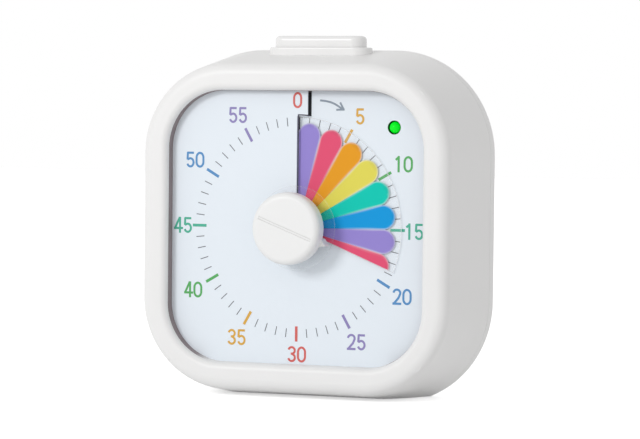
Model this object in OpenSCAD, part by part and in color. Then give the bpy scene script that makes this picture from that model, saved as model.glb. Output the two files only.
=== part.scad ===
// Visual countdown timer: a flared square case, a slit dial card, a coloured film disc that
// winds out through the slit, and the geared movement, board, cells and switches behind it.
// The dial faces -Y, +Z is up, and the origin is the middle of the base that the case stands on.

/* [Case] */
// Half-width of the case at its front plane
case_half = 50.2; // [48:0.2:52]
// Depth of the case from front plane to back plane
case_depth = 32.5; // [32.5:0.5:35]
// Angle by which the sides open towards the back
case_flare = 9.2; // [6:0.1:10]
// Distance from the dial's axis to each corner's centre of curvature
corner_centre = 22.5; // [21:0.5:23]
// Height of the dial's axis over the base
dial_z = 52.5; // [51:0.1:53]
// Thickness of the moulded walls
wall = 2.2; // [1.8:0.1:2.4]
// Radius of the front edge all round
front_round = 3.6; // [2:0.1:3.8]
// Radius of the back edge all round
back_round = 2.1; // [1:0.1:2.1]
// Distance from the front plane to the seam with the rear cover
seam_depth = 27.9; // [27.8:0.1:28.1]

/* [Dial] */
// Half-width of the opening in front of the dial
opening_half = 42.2; // [41.6:0.1:42.4]
// Distance from the dial's axis to each centre of curvature of the opening
opening_centre = 24; // [22:0.5:25]
// Distance from the front plane back to the lowest part of the card
dial_depth = 5.65; // [5.5:0.05:6]
// Thickness of the printed card
card_thick = 0.35; // [0.3:0.05:0.4]
// Radius of the card's centre hole
card_hole = 9; // [8.8:0.1:9.4]
// Radius at which the slit steps aside
slit_step_r = 34.5; // [34.4:0.1:35]
// Sideways place of the slit's outer part
slit_outer_x = 4.06; // [3:0.02:5]
// Radius of the lamp's hole
lamp_hole = 2.15; // [2:0.05:2.5]
// Sideways and upward distance of the lamp from the axis
lamp_offset = 31.2; // [30:0.1:32]

/* [Disc] */
// Outer radius of the coloured disc
disc_r = 34.2; // [33:0.1:34.2]
// Thickness of the disc's film
disc_thick = 0.2; // [0.15:0.05:0.25]
// Rise of the disc and card in one turn
winding_rise = 1.2; // [1.15:0.05:1.25]
// Minutes shown on the dial in the stored pose
shown_minutes = 18.7; // [5:0.1:55]

/* [Knob] */
// Radius of the grip
grip_r = 11.1; // [10:0.1:12]
// Height of the grip's face over the card
grip_face_h = 11.25; // [10.5:0.05:12]
// Height of the grip's rear edge over the card
grip_rear_h = 6.45; // [5.5:0.05:7]
// Radius of the neck under the grip
neck_r = 9.4; // [8.6:0.1:10]
// Radius of the grip's rounded front edge
grip_round = 1.9; // [1:0.1:2.2]
// Distance of the pointer's tip from the axis
pointer_r = 12.75; // [12.2:0.05:13]
// Outer radius of the clear washer over the film
washer_r = 13; // [11:0.5:14]

/* [Top button] */
// Width of the button from end to end
button_w = 30.1; // [28:0.1:31]
// Depth of the button from front to back
button_d = 7.4; // [6:0.1:7.6]
// Width of the collar round the button
collar_w = 33.8; // [33.4:0.1:36]
// Depth of the collar from front to back
collar_d = 9; // [8.6:0.1:9.2]
// Travel of the button
button_travel = 1; // [0.8:0.1:1.2]

/* [Movement] */
// Teeth on the centre wheel
centre_teeth = 64; // [64]
// Teeth on the third wheel
third_teeth = 60; // [60]
// Teeth on the fourth wheel
fourth_teeth = 48; // [48]
// Leaves on every pinion
pinion_teeth = 8; // [8]

/* [Hidden] */
smooth = 96;
tiny = 0.02;

// main planes along Y
front_y = -case_depth / 2;
back_y = case_depth / 2;
seam_y = front_y + seam_depth;
dial_y = front_y + dial_depth;
flare = tan(case_flare);

// card, spacer and chassis
card_half = 44.2;
card_centre = 22;
collar_rear_h = winding_rise + 0.2;
chassis_front_h = -1.15;
chassis_thick = 1.6;
chassis_y = dial_y - chassis_front_h;
chassis_back_y = chassis_y + chassis_thick;
winding_steps = 48;
slit_gap_inner = 0.55;
slit_gap_outer = 0.8;
slit_inner_x = 0.35;
seat_gap = 0.03;
lead_angle = shown_minutes * 6;

// placement in the dial's own axes: X right, Y up the dial, Z out towards the viewer
module on_dial(h = 0) {
    translate([0, dial_y - h, dial_z])
        rotate([90, 0, 0])
            children();
}

// four corners of a square pattern about the dial's axis
module at_corners(d) {
    for (sx = [-1, 1], sz = [-1, 1])
        translate([sx * d, sz * d, 0])
            children();
}

// square with round corners, given its half-width and its corners' centre
module round_square(half, centre) {
    square([2 * half, 2 * centre], center = true);
    square([2 * centre, 2 * half], center = true);
    at_corners(centre)
        circle(half - centre, $fn = smooth);
}

// oblong with round ends along X
module pill(w, d) {
    square([w - d, d], center = true);
    for (s = [-1, 1])
        translate([s * (w - d) / 2, 0])
            circle(d / 2, $fn = smooth);
}

// section swept round a square's sides and quarter circles about its corner centres; the
// section's X runs outwards from the centre lines and its Y becomes Z. low to high is filled
module around_square(centre, low, high) {
    for (turn = [0 : 90 : 270])
        rotate(turn) {
            translate([centre - tiny, centre, 0])
                rotate([90, 0, 0])
                    linear_extrude(2 * centre)
                        children();
            translate([centre, centre, 0])
                rotate_extrude(angle = 90, $fn = smooth)
                    children();
        }
    translate([-centre, -centre, low])
        cube([2 * centre, 2 * centre, high - low]);
}

// half section swept into a bar with two round ends, w long over the section's half-width d
module around_pill(w, d) {
    for (s = [-1, 1])
        translate([s * (w / 2 - d), 0, 0])
            rotate(s * -90)
                rotate_extrude(angle = 180, $fn = smooth)
                    children();
    for (s = [0, 1])
        mirror([0, s, 0])
            translate([d - w / 2, 0, 0])
                rotate([90, 0, 90])
                    linear_extrude(w - 2 * d)
                        children();
}

// upright half section with one rounded outer corner
module key_section(half, low, high, edge) {
    translate([0, low])
        square([half, high - low - edge]);
    translate([0, low])
        square([half - edge, high - low]);
    translate([half - edge, high - edge])
        circle(edge, $fn = smooth);
}

// wire along a cubic curve given by its four control points
module wire(p, r) {
    n = 12;
    sides = 8;
    function at(t) = pow(1 - t, 3) * p[0] + 3 * t * pow(1 - t, 2) * p[1]
        + 3 * t * t * (1 - t) * p[2] + pow(t, 3) * p[3];
    function along(t) = 3 * pow(1 - t, 2) * (p[1] - p[0]) + 6 * t * (1 - t) * (p[2] - p[1])
        + 3 * t * t * (p[3] - p[2]);
    swept_tube([for (j = [0 : n]) at(j / n)], [for (j = [0 : n]) along(j / n)], r, sides);
}

// tube through given centres with given tangents
module swept_tube(centres, tangents, r, sides) {
    n = len(centres) - 1;
    reference = [0.31, 0.52, 0.8];
    function unit(v) = v / norm(v);
    function side(j) = unit(cross(tangents[j], reference));
    function up(j) = unit(cross(side(j), tangents[j]));
    points = [for (j = [0 : n], k = [0 : sides - 1])
        centres[j] + r * (cos(360 * k / sides) * side(j) + sin(360 * k / sides) * up(j))];
    walls = [for (j = [0 : n - 1], k = [0 : sides - 1])
        let (a = j * sides + k, b = j * sides + (k + 1) % sides)
            each [[a, b, b + sides], [a, b + sides, a + sides]]];
    caps = [[for (k = [0 : sides - 1]) sides - 1 - k], [for (k = [0 : sides - 1]) n * sides + k]];
    polyhedron(points, concat(walls, caps), convexity = 8);
}

// ---------- case ----------

// half of the case's section from its corner centre outwards: X is outwards, Y goes back.
// inset takes a wall off the sides, and y0 and y1 are where it starts and ends
module flare_section(inset, y0, y1, r0, r1, from_centre) {
    x0 = case_half - inset - from_centre + (y0 - front_y) * flare;
    x1 = case_half - inset - from_centre + (y1 - front_y) * flare;
    c = cos(case_flare);
    s = sin(case_flare);
    // centres of the edge arcs, tangent to the flared side and to the end planes
    a0 = x0 + r0 * flare - r0 / c;
    a1 = x1 - r1 * flare - r1 / c;
    polygon([[0, y0], [a0, y0], [a0, y0 + r0], [a0 + r0 * c, y0 + r0 - r0 * s],
        [a1 + r1 * c, y1 - r1 - r1 * s], [a1, y1 - r1], [a1, y1], [0, y1]]);
    if (r0 > 0)
        translate([a0, y0 + r0])
            circle(r0, $fn = smooth);
    if (r1 > 0)
        translate([a1, y1 - r1])
            circle(r1, $fn = smooth);
}

// solid with the case's outline: two crossing prisms and four turned corners
module flared_block(inset, y0, y1, r0, r1, centre = corner_centre) {
    translate([0, 0, dial_z]) {
        for (turn = [0 : 90 : 270])
            rotate([0, turn, 0])
                translate([centre - tiny, 0, -centre])
                    linear_extrude(2 * centre)
                        flare_section(inset, y0, y1, r0, r1, centre - tiny);
        translate([-centre, y0, -centre])
            cube([2 * centre, y1 - y0, 2 * centre]);
        for (turn = [0 : 90 : 270])
            rotate([0, turn, 0])
                translate([centre, 0, centre])
                    rotate([90, 0, 0])
                        mirror([0, 0, 1])
                            rotate_extrude(angle = 90, $fn = smooth)
                                flare_section(inset, y0, y1, r0, r1, centre);
    }
}

// the same block cut level at the base
module standing_block(inset, y0, y1, r0, r1) {
    intersection() {
        flared_block(inset, y0, y1, r0, r1);
        translate([-100, y0 - 1, inset])
            cube([200, y1 - y0 + 2, 200]);
    }
}

lip_round = 2;
clamp_half = 43.35;
clamp_wall = 1.25;
clamp_front_h = dial_depth - lip_round - 0.05;

// opening with a quarter-round lip at the front plane and a wider seat for the dial's clamp
module dial_opening() {
    seat_w = clamp_half + 0.1 - opening_centre;
    throat_w = opening_half - opening_centre;
    on_dial()
        around_square(opening_centre, -1, dial_depth + 2) {
            translate([0, -1])
                square([seat_w, clamp_front_h + 1.05]);
            translate([0, clamp_front_h])
                square([throat_w, dial_depth - clamp_front_h]);
            difference() {
                translate([0, dial_depth - lip_round])
                    square([throat_w + lip_round, lip_round + 2]);
                translate([throat_w + lip_round, dial_depth - lip_round])
                    circle(lip_round, $fn = smooth);
            }
        }
}

cover_screw_at = 40;
cover_boss_r = 2.6;
cover_boss_end = seam_y - 1.2;
pilot_r = 0.95;
chassis_screw_x = 46.6;
chassis_screw_z = 18;
chassis_boss_r = 2.1;
collar_y = back_y - 9.4;
button_hole_gap = 0.3;

module chassis_places() {
    for (sx = [-1, 1], sz = [-1, 1])
        translate([sx * chassis_screw_x, 0, sz * chassis_screw_z])
            children();
}

module front_housing() {
    skin = 2.4;
    color("whitesmoke")
        difference() {
            union() {
                difference() {
                    standing_block(0, front_y, seam_y, front_round, 0);
                    standing_block(wall, front_y + skin, seam_y + 1, 1.2, 0);
                }
                // wall of the opening, reaching back to the card
                on_dial(collar_rear_h)
                    linear_extrude(dial_depth - collar_rear_h - 1)
                        round_square(clamp_half + 1.6, opening_centre);
                // ribs that brace the opening's wall to the sides
                intersection() {
                    standing_block(1, front_y + 1, chassis_y, 0, 0);
                    translate([0, 0, dial_z])
                        for (turn = [0 : 90 : 270], at = [-28, -9, 9, 28])
                            rotate([0, turn, 0])
                                translate([card_half + 0.2, front_y + 1.5, at - 0.5])
                                    cube([8, chassis_y - 0.2 - front_y - 1.5, 1]);
                }
                intersection() {
                    standing_block(0.5, front_y + 1, seam_y, 0, 0);
                    union() {
                        on_dial(dial_y - cover_boss_end)
                            at_corners(cover_screw_at)
                                cylinder(r = cover_boss_r, h = cover_boss_end - front_y - 1,
                                    $fn = smooth);
                        translate([0, chassis_y, dial_z])
                            chassis_places()
                                rotate([90, 0, 0])
                                    cylinder(r = chassis_boss_r, h = chassis_y - front_y - 1.2,
                                        $fn = smooth);
                    }
                }
            }
            dial_opening();
            on_dial(dial_y - cover_boss_end - tiny)
                at_corners(cover_screw_at)
                    cylinder(r = pilot_r, h = 14, $fn = smooth);
            translate([0, chassis_y + tiny, dial_z])
                chassis_places()
                    rotate([90, 0, 0])
                        cylinder(r = 0.8, h = 4.4, $fn = smooth);
            // oblong hole under the top button
            translate([0, collar_y, dial_z])
                linear_extrude(100)
                    pill(button_w + 1.6, button_d + 0.8);
        }
}

cell_r = 5.25;
cell_len = 44.5;
cell_y = back_y - 7.6;
cell_pitch = 11;
cell_low_z = dial_z - 27;
cell_zs = [cell_low_z, cell_low_z + cell_pitch];
bay_half = 26.4;
bay_low = cell_low_z - cell_r - 0.5;
bay_high = cell_low_z + cell_pitch + cell_r + 0.5;
bay_front = cell_y - cell_r - 0.35;
bay_wall = 1.2;
door_w = 60;
door_low = dial_z - 35;
door_high = dial_z - 8;
door_thick = 1.8;
door_gap = 0.25;
slider_z = dial_z + 33;
slider_x = -24;
slider_travel = 1.5;
slider_rest_x = slider_x - slider_travel;
recess = 0.9;
buzzer_x = 22;
buzzer_z = dial_z + 27;

// rounded plate seen from behind: spans x, z0 to z1, and y from y0 back by t
module door_plate(w, z0, z1, y0, t, r) {
    translate([0, y0 + t, (z0 + z1) / 2])
        rotate([90, 0, 0])
            linear_extrude(t)
                union() {
                    square([w - 2 * r, z1 - z0], center = true);
                    square([w, z1 - z0 - 2 * r], center = true);
                    for (sx = [-1, 1], sz = [-1, 1])
                        translate([sx * (w / 2 - r), sz * ((z1 - z0) / 2 - r)])
                            circle(r, $fn = smooth);
                }
}

saddle_xs = [-13, 13];
tag_w = 3;
tag_t = 0.5;

module rear_cover() {
    back_wall = 2.2;
    color("whitesmoke")
        difference() {
            union() {
                difference() {
                    standing_block(0, seam_y + 0.1, back_y, 0, back_round);
                    standing_block(wall, seam_y - 1, back_y - back_wall, 0, 0.8);
                }
                // ribs that stiffen the back between the bay and the corner columns
                for (sx = [-1, 1], z = [dial_z - 5, dial_z + 9])
                    translate([sx * 38 - 12, back_y - back_wall - 1.4, z])
                        cube([24, 1.6, 1]);
                // guide collar round the sound slider's slot
                translate([slider_x - 3 - slider_travel - 1.2, back_y - back_wall - 1, slider_z - 2.9])
                    cube([2 * (3 + slider_travel + 1.2), 1.2, 5.8]);
                // tongue that fits inside the front housing
                difference() {
                    union() {
                        standing_block(wall + 0.2, seam_y - 1.6, seam_y + 1.5, 0, 0);
                        standing_block(wall - 0.2, seam_y + 0.1, seam_y + 1.5, 0, 0);
                    }
                    standing_block(wall + 1.4, seam_y - 3, seam_y + 3, 0, 0);
                    on_dial(dial_y - seam_y - 1)
                        at_corners(cover_screw_at)
                            cylinder(r = cover_boss_r + 0.3, h = 6, $fn = smooth);
                    translate([0, collar_y, dial_z])
                        linear_extrude(60)
                            square([collar_w + 2, collar_d + 2], center = true);
                }
                // battery bay
                translate([-bay_half - bay_wall, bay_front - bay_wall, bay_low - bay_wall])
                    cube([2 * (bay_half + bay_wall), back_y - 0.5 - bay_front + bay_wall,
                        bay_high - bay_low + 2 * bay_wall]);
                // screw columns
                on_dial(dial_y - back_y + 0.4)
                    at_corners(cover_screw_at)
                        cylinder(r = 3, h = back_y - 0.4 - cover_boss_end, $fn = smooth);
            }
            // room for the cells, between saddles that carry them
            difference() {
                translate([-bay_half, bay_front, bay_low])
                    cube([2 * bay_half, 40, bay_high - bay_low]);
                for (x = saddle_xs)
                    difference() {
                        translate([x - 0.7, bay_front - tiny, bay_low - tiny])
                            cube([1.4, 4, bay_high - bay_low + 2 * tiny]);
                        for (z = cell_zs)
                            translate([x - 2, cell_y, z])
                                rotate([0, 90, 0])
                                    cylinder(r = cell_r + 0.3, h = 4, $fn = smooth);
                    }
            }
            // slots that the contact tags pass through
            for (z = cell_zs)
                translate([-bay_half - bay_wall - 1, cell_y - tag_t / 2 - 0.1, z - tag_w / 2 - 0.2])
                    cube([bay_wall + 1 + tiny, tag_t + 0.2, tag_w + 0.4]);
            door_plate(door_w + 2 * door_gap, door_low - door_gap, door_high + door_gap,
                back_y - door_thick, door_thick + 1, 3 + door_gap);
            on_dial(dial_y - back_y - 1)
                at_corners(cover_screw_at) {
                    cylinder(r = 1.35, h = 20, $fn = smooth);
                    cylinder(r = 2.5, h = 3.6, $fn = smooth);
                }
            // slot for the sound slider, in a shallow recess for a fingertip
            translate([slider_x, back_y + 1, slider_z])
                rotate([90, 0, 0]) {
                    linear_extrude(6)
                        square([6 + 2 * slider_travel, 3.4], center = true);
                    linear_extrude(1 + recess)
                        pill(18, 8);
                }
            // sound holes over the buzzer
            translate([buzzer_x, back_y + 1, buzzer_z])
                rotate([90, 0, 0]) {
                    cylinder(r = 0.9, h = 6, $fn = smooth);
                    for (a = [0 : 60 : 300])
                        rotate(a)
                            translate([3.6, 0, 0])
                                cylinder(r = 0.9, h = 6, $fn = smooth);
                }
        }
}

// pan-head screw, its head's underside at the origin and its shank along +Z
module screw(head_r, head_h, shank_r, length) {
    translate([0, 0, -head_h])
        difference() {
            cylinder(r = head_r, h = head_h, $fn = smooth);
            for (a = [0, 90])
                rotate(a)
                    translate([-head_r * 0.55, -0.22, -tiny])
                        cube([head_r * 1.1, 0.44, head_h * 0.5]);
        }
    cylinder(r = shank_r, h = length, $fn = smooth);
}

module cover_screws() {
    color("silver")
        on_dial(dial_y - back_y + 2.6)
            at_corners(cover_screw_at)
                screw(2.3, 1.5, 0.9, 13);
}

latch_w = 14;
latch_len = 8;
latch_slot = 0.9;

module battery_door() {
    color("whitesmoke")
        difference() {
            union() {
                door_plate(door_w, door_low, door_high, back_y - door_thick, door_thick, 3);
                // rim that drops into the bay and steadies the door
                difference() {
                    translate([-bay_half + 0.4, back_y - door_thick - 1, bay_low + 0.4])
                        cube([2 * bay_half - 0.8, 1.2, bay_high - bay_low - 0.8]);
                    translate([-bay_half + 1.4, back_y - door_thick - 2, bay_low + 1.4])
                        cube([2 * bay_half - 2.8, 3, bay_high - bay_low - 2.8]);
                }
            }
            // thumb ridges on the latch
            for (i = [0 : 2])
                translate([-latch_w / 2 + 1.5, back_y - 0.5, door_high - 2.6 - i * 1.6])
                    cube([latch_w - 3, 1, 0.8]);
            // slot that frees the latch on three sides, so that it bends
            for (sx = [-1, 1])
                translate([sx * (latch_w / 2 + latch_slot / 2) - latch_slot / 2,
                    back_y - door_thick - 0.5, door_high - latch_len])
                    cube([latch_slot, door_thick + 1, latch_len + 1]);
        }
}

// ---------- top button ----------

// height of the sloping top at a given Y
function top_at(y) = dial_z + case_half + (y - front_y) * flare;
collar_low = top_at(collar_y - collar_d / 2) - 0.9;
collar_top = dial_z + 55.8;
button_top = dial_z + 59.4;
button_low = collar_top - 4.4;

module button_collar() {
    color("white")
        difference() {
            translate([0, collar_y, 0])
                around_pill(collar_w, collar_d / 2)
                    key_section(collar_d / 2, collar_low, collar_top, 0.45);
            // seat on the case's sloping top
            difference() {
                translate([-collar_w, -case_depth, collar_low - 5])
                    cube([2 * collar_w, 2 * case_depth, 14]);
                translate([0, 0, top_at(0) + 0.01])
                    rotate([case_flare, 0, 0])
                        translate([-collar_w, -case_depth, 0])
                            cube([2 * collar_w, 2 * case_depth, 20]);
            }
            translate([0, collar_y, 0])
                linear_extrude(200)
                    pill(button_w + 2 * button_hole_gap, button_d + 2 * button_hole_gap);
        }
}

switch_top = dial_z + 45.2;
switch_size = [6, 5, 4.4];
plunger_h = 1.4;

module top_button() {
    edge = 1.4;
    line_w = 0.25;
    line_in = 1.9;
    color("white") {
        difference() {
            translate([0, collar_y, 0])
                around_pill(button_w, button_d / 2)
                    key_section(button_d / 2, button_low, button_top, edge);
            // fine line round the raised face
            translate([0, collar_y, button_top - 0.15])
                linear_extrude(1)
                    difference() {
                        pill(button_w - line_in, button_d - line_in);
                        pill(button_w - line_in - 2 * line_w, button_d - line_in - 2 * line_w);
                    }
        }
        // stem down to the switch
        translate([-2, collar_y - 1.5, switch_top + plunger_h])
            cube([4, 3, button_low - switch_top - plunger_h + tiny]);
    }
}

module switch_plunger() {
    color("dimgray")
        translate([0, collar_y, switch_top + plunger_h - 2.6])
            cylinder(r = 1.5, h = 2.6, $fn = smooth);
}

module push_switch() {
    color("silver")
        difference() {
            translate([-switch_size[0] / 2, collar_y - switch_size[1] / 2,
                switch_top - switch_size[2]])
                cube(switch_size);
            translate([0, collar_y, switch_top - 2.6])
                cylinder(r = 1.6, h = 5, $fn = smooth);
        }
}

// ---------- dial ----------

// One turn of a helical sheet between two radii, cut along the line x = slit_x. Angles run
// clockwise from the top; it rises by winding_rise; low and high are its faces' heights at the
// start. A level of -1 gives a flat underside instead, and 1 a flat top
module winding(r0, r1, slit_x, gap, low, high, level = 0) {
    n = winding_steps;
    function start(r) = asin(slit_x / r);
    function sweep(r) = 360 + asin((slit_x - gap) / r) - start(r);
    function point(r, j, z) = let (a = start(r) + sweep(r) * j / n)
        [r * sin(a), r * cos(a), z];
    function rise(j) = winding_rise * j / n;
    function under(j) = low + (level < 0 ? 0 : rise(j));
    function over(j) = high + (level > 0 ? 0 : rise(j));
    points = [for (j = [0 : n])
        each [point(r0, j, under(j)), point(r1, j, under(j)),
            point(r1, j, over(j)), point(r0, j, over(j))]];
    sides = [for (j = [0 : n - 1], k = [0 : 3])
        let (p = 4 * j + k, q = 4 * j + (k + 1) % 4)
            each [[p, q + 4, q], [p, p + 4, q + 4]]];
    ends = [[0, 1, 2, 3], [4 * n + 3, 4 * n + 2, 4 * n + 1, 4 * n]];
    polyhedron(points, concat(sides, ends), convexity = 6);
}

// the part of a winding outside the slit's step, within an upright ring or plate
card_reach = 66;
module outer_winding(low, high, level = 0) {
    intersection() {
        winding(slit_step_r - 0.1, card_reach, slit_outer_x, slit_gap_outer, low, high, level);
        translate([0, 0, -5])
            linear_extrude(12)
                children();
    }
}

module dial_card() {
    color("ghostwhite")
        on_dial()
            difference() {
                union() {
                    winding(card_hole, slit_step_r + 0.1, slit_inner_x, slit_gap_inner, -card_thick, 0);
                    outer_winding(-card_thick, 0)
                        round_square(card_half, card_centre);
                }
                translate([lamp_offset, lamp_offset, -5])
                    cylinder(r = lamp_hole, h = 10, $fn = smooth);
            }
}

// frame that lines the opening and presses the card on its spacer
module dial_clamp() {
    level_h = winding_rise + 0.1;
    color("rosybrown")
        on_dial() {
            translate([0, 0, level_h - tiny])
                linear_extrude(clamp_front_h - level_h)
                    clamp_ring();
            outer_winding(seat_gap, level_h, 1)
                clamp_ring();
        }
}

module clamp_ring() {
    difference() {
        round_square(clamp_half, opening_centre);
        round_square(clamp_half - clamp_wall, opening_centre);
    }
}

module dial_spacer() {
    color("gainsboro")
        on_dial()
            outer_winding(chassis_front_h, -card_thick - seat_gap, -1)
                difference() {
                    round_square(card_half, card_centre);
                    round_square(card_half - 2.6, card_centre + 1);
                }
}

hub_r = 6.9;
hub_rear_h = -0.8;
rib_r = 8;
rib_w = 2.4;
rib_front_h = 1.85;
disc_gap = 0.35;

// the film winds the same way as the card, half a rise in front of it where it shows
module color_disc() {
    lead_h = winding_rise / 2 - card_thick / 2 - winding_rise * (360 - lead_angle) / 360;
    color("orchid", 0.8)
        on_dial()
            rotate(-lead_angle)
                difference() {
                    winding(hub_r + 0.3, disc_r, slit_inner_x, disc_gap,
                        lead_h - disc_thick / 2, lead_h + disc_thick / 2);
                    for (s = [-1, 1])
                        translate([s * rib_r / 2, 0, 0])
                            cube([rib_r + 0.6, rib_w + 0.6, 10], center = true);
                }
}

// ---------- knob and spindle ----------

spindle_r = 2;
running = 0.05;
knob_angle = lead_angle - 1.2;
washer_h = 1.9;
washer_t = 0.25;
neck_rear_h = 2.6;
bore_front_h = 8.5;

module knob() {
    groove_w = 0.22;
    groove_pitch = 0.7;
    groove_deep = 0.3;
    color("white")
        on_dial()
            rotate(-knob_angle)
                difference() {
                    union() {
                        translate([0, 0, hub_rear_h])
                            cylinder(r = hub_r, h = grip_rear_h - hub_rear_h, $fn = smooth);
                        // ribs that drive the film through its keyed hole
                        for (s = [-1, 1])
                            rotate(knob_angle - lead_angle)
                                translate([s * rib_r / 2, 0, (hub_rear_h + rib_front_h) / 2])
                                    cube([rib_r, rib_w, rib_front_h - hub_rear_h], center = true);
                        translate([0, 0, neck_rear_h])
                            cylinder(r1 = neck_r, r2 = neck_r - 0.5, h = grip_rear_h - neck_rear_h + tiny,
                                $fn = smooth);
                        rotate_extrude($fn = smooth)
                            grip_section(grip_round);
                        pointer();
                    }
                    translate([0, 0, -3])
                        cylinder(r = spindle_r + running, h = bore_front_h + 3, $fn = smooth);
                    // two fine lines across the face, in line with the pointer
                    for (s = [-1, 1])
                        translate([s * groove_pitch / 2, 0, grip_face_h])
                            cube([groove_w, 2 * (grip_r - grip_round), 2 * groove_deep], center = true);
                }
}

// fin on the grip's side whose tip shows the time left
module pointer() {
    fin_rear_h = 3.6;
    fin_front_h = 7;
    translate([0, 0, fin_rear_h])
        linear_extrude(fin_front_h - fin_rear_h)
            polygon([for (p = [[8.6, -6], [10.9, -4.5], [pointer_r - 0.25, 1.6], [pointer_r, 2.8],
                [pointer_r - 0.25, 4], [10.9, 8], [8.6, 9]]) p[0] * [sin(p[1]), cos(p[1])]]);
}

// clear washer pressed on the hub in front of the film
module disc_washer() {
    color("aliceblue", 0.4)
        on_dial(washer_h)
            linear_extrude(washer_t)
                difference() {
                    circle(washer_r, $fn = smooth);
                    circle(hub_r + 0.02, $fn = smooth);
                }
}

// grip from its rear edge to its face, with a rounded front edge
module grip_section(edge) {
    translate([0, grip_rear_h])
        square([grip_r - 0.3, 0.3]);
    translate([0, grip_rear_h + 0.3])
        square([grip_r, grip_face_h - edge - grip_rear_h - 0.3]);
    translate([0, grip_rear_h])
        square([grip_r - edge, grip_face_h - grip_rear_h]);
    translate([grip_r - edge, grip_face_h - edge])
        circle(edge, $fn = smooth);
}

// places along the spindle, as Y
clutch_y = dial_y + 3.65;
wheel_a_y = dial_y + 4.05;
wheel_b_y = dial_y + 5.85;
wheel_c_y = dial_y + 7.45;
bridge_y = dial_y + 9.85;
bridge_thick = 1.4;
spindle_back_y = bridge_y + 2;

// turned part along +Y: [start y, radius] pairs up to end_y
module turned(steps, end_y) {
    for (i = [0 : len(steps) - 1]) {
        y1 = i == len(steps) - 1 ? end_y : steps[i + 1][0];
        translate([0, y1, 0])
            rotate([90, 0, 0])
                cylinder(r = steps[i][1], h = y1 - steps[i][0], $fn = smooth);
    }
}

module spindle() {
    color("silver")
        translate([0, 0, dial_z])
            turned([[dial_y - bore_front_h + 0.5, spindle_r], [clutch_y - 0.8, 3], [clutch_y, spindle_r],
                [bridge_y - 0.2, 1.4]], spindle_back_y);
}

module spindle_bush() {
    color("goldenrod")
        translate([0, 0, dial_z])
            difference() {
                turned([[chassis_y - 0.3, 3.4], [chassis_y, 3]], chassis_back_y);
                turned([[chassis_y - 2, spindle_r + running]], chassis_back_y + 1);
            }
}

module clutch_spring() {
    color("goldenrod")
        translate([0, clutch_y + 0.35, dial_z])
            rotate([90, 0, 0])
                linear_extrude(0.35)
                    difference() {
                        union() {
                            circle(3.2, $fn = smooth);
                            for (a = [0 : 120 : 240])
                                rotate(a)
                                    translate([3.6, 0])
                                        circle(1.2, $fn = smooth);
                        }
                        circle(spindle_r + running, $fn = smooth);
                    }
}

module spindle_clip() {
    color("dimgray")
        translate([0, wheel_a_y + 2.25, dial_z])
            rotate([90, 0, 0])
                linear_extrude(0.4)
                    difference() {
                        circle(3.1, $fn = smooth);
                        circle(spindle_r + 0.01, $fn = smooth);
                        translate([-1.2, 0])
                            square([2.4, 4]);
                    }
}

// ---------- gear train ----------

wheel_module = 0.35;
fine_module = 0.3;
mesh_play = 0.12;
third_dist = (centre_teeth + pinion_teeth) / 2 * wheel_module + mesh_play;
fourth_dist = (third_teeth + pinion_teeth) / 2 * fine_module + mesh_play;
rotor_dist = (fourth_teeth + pinion_teeth) / 2 * fine_module + mesh_play;
third_dir = 210;
fourth_dir = 150;
rotor_dir = 110;
third_at = third_dist * [cos(third_dir), sin(third_dir)];
fourth_at = third_at + fourth_dist * [cos(fourth_dir), sin(fourth_dir)];
rotor_at = fourth_at + rotor_dist * [cos(rotor_dir), sin(rotor_dir)];

// plane gear, one tooth centred on the +X axis; thin is the tooth's share of its pitch
module gear_outline(teeth, m, thin) {
    pitch_r = teeth * m / 2;
    root_r = pitch_r - 1.15 * m;
    tip_r = pitch_r + 0.85 * m;
    pitch = 360 / teeth;
    points = [for (i = [0 : teeth - 1]) let (a = i * pitch) each [
        for (p = [[root_r, -thin * 0.62], [pitch_r, -thin * 0.5], [tip_r, -thin * 0.22],
            [tip_r, thin * 0.22], [pitch_r, thin * 0.5], [root_r, thin * 0.62]])
            p[0] * [cos(a + p[1] * pitch), sin(a + p[1] * pitch)]]];
    polygon(points);
}

// gear from y0, t thick, turned by phase about the axis through [x, z] from the dial's axis
module gear(at, y0, t, teeth, m, thin, phase, bore = 0) {
    translate([at[0], y0 + t, dial_z + at[1]])
        rotate([90, 0, 0])
            linear_extrude(t)
                difference() {
                    rotate(phase)
                        gear_outline(teeth, m, thin);
                    if (bore > 0)
                        circle(bore, $fn = smooth);
                }
}

// turned arbor through [x, z] from the dial's axis
module arbor(at, steps, end_y) {
    translate([at[0], 0, dial_z + at[1]])
        turned(steps, end_y);
}

wheel_thin = 0.44;
pinion_thin = 0.36;
gear_t = 1;
pivot_r = 0.6;
pivot_front_y = chassis_y + 0.6;
pivot_back_y = bridge_y + 1;

// a gap of the driven gear faces a tooth of its driver at each mesh
centre_phase = third_dir;
third_pinion_phase = third_dir + 180 + 180 / pinion_teeth;
third_wheel_phase = fourth_dir;
fourth_pinion_phase = fourth_dir + 180 + 180 / pinion_teeth;
fourth_wheel_phase = rotor_dir;
rotor_phase = rotor_dir + 180 + 180 / pinion_teeth;

module centre_wheel() {
    color("khaki")
        difference() {
            union() {
                gear([0, 0], wheel_a_y, gear_t, centre_teeth, wheel_module, wheel_thin, centre_phase);
                arbor([0, 0], [[wheel_a_y, 3.4]], wheel_a_y + 1.8);
            }
            arbor([0, 0], [[wheel_a_y - 1, spindle_r + running]], wheel_a_y + 3);
            for (a = [0 : 60 : 300])
                translate([0, wheel_a_y - 1, dial_z])
                    rotate([0, a, 0])
                        translate([7, 0, 0])
                            rotate([-90, 0, 0])
                                cylinder(r = 2, h = 3, $fn = smooth);
        }
}

// round windows through a wheel's web, n of them at radius at_r
module web_windows(at, y0, n, at_r, r) {
    translate([at[0], y0 + 2, dial_z + at[1]])
        rotate([90, 0, 0])
            for (i = [0 : n - 1])
                rotate(360 * i / n)
                    translate([at_r, 0, 0])
                        cylinder(r = r, h = 3, $fn = smooth);
}

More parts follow.
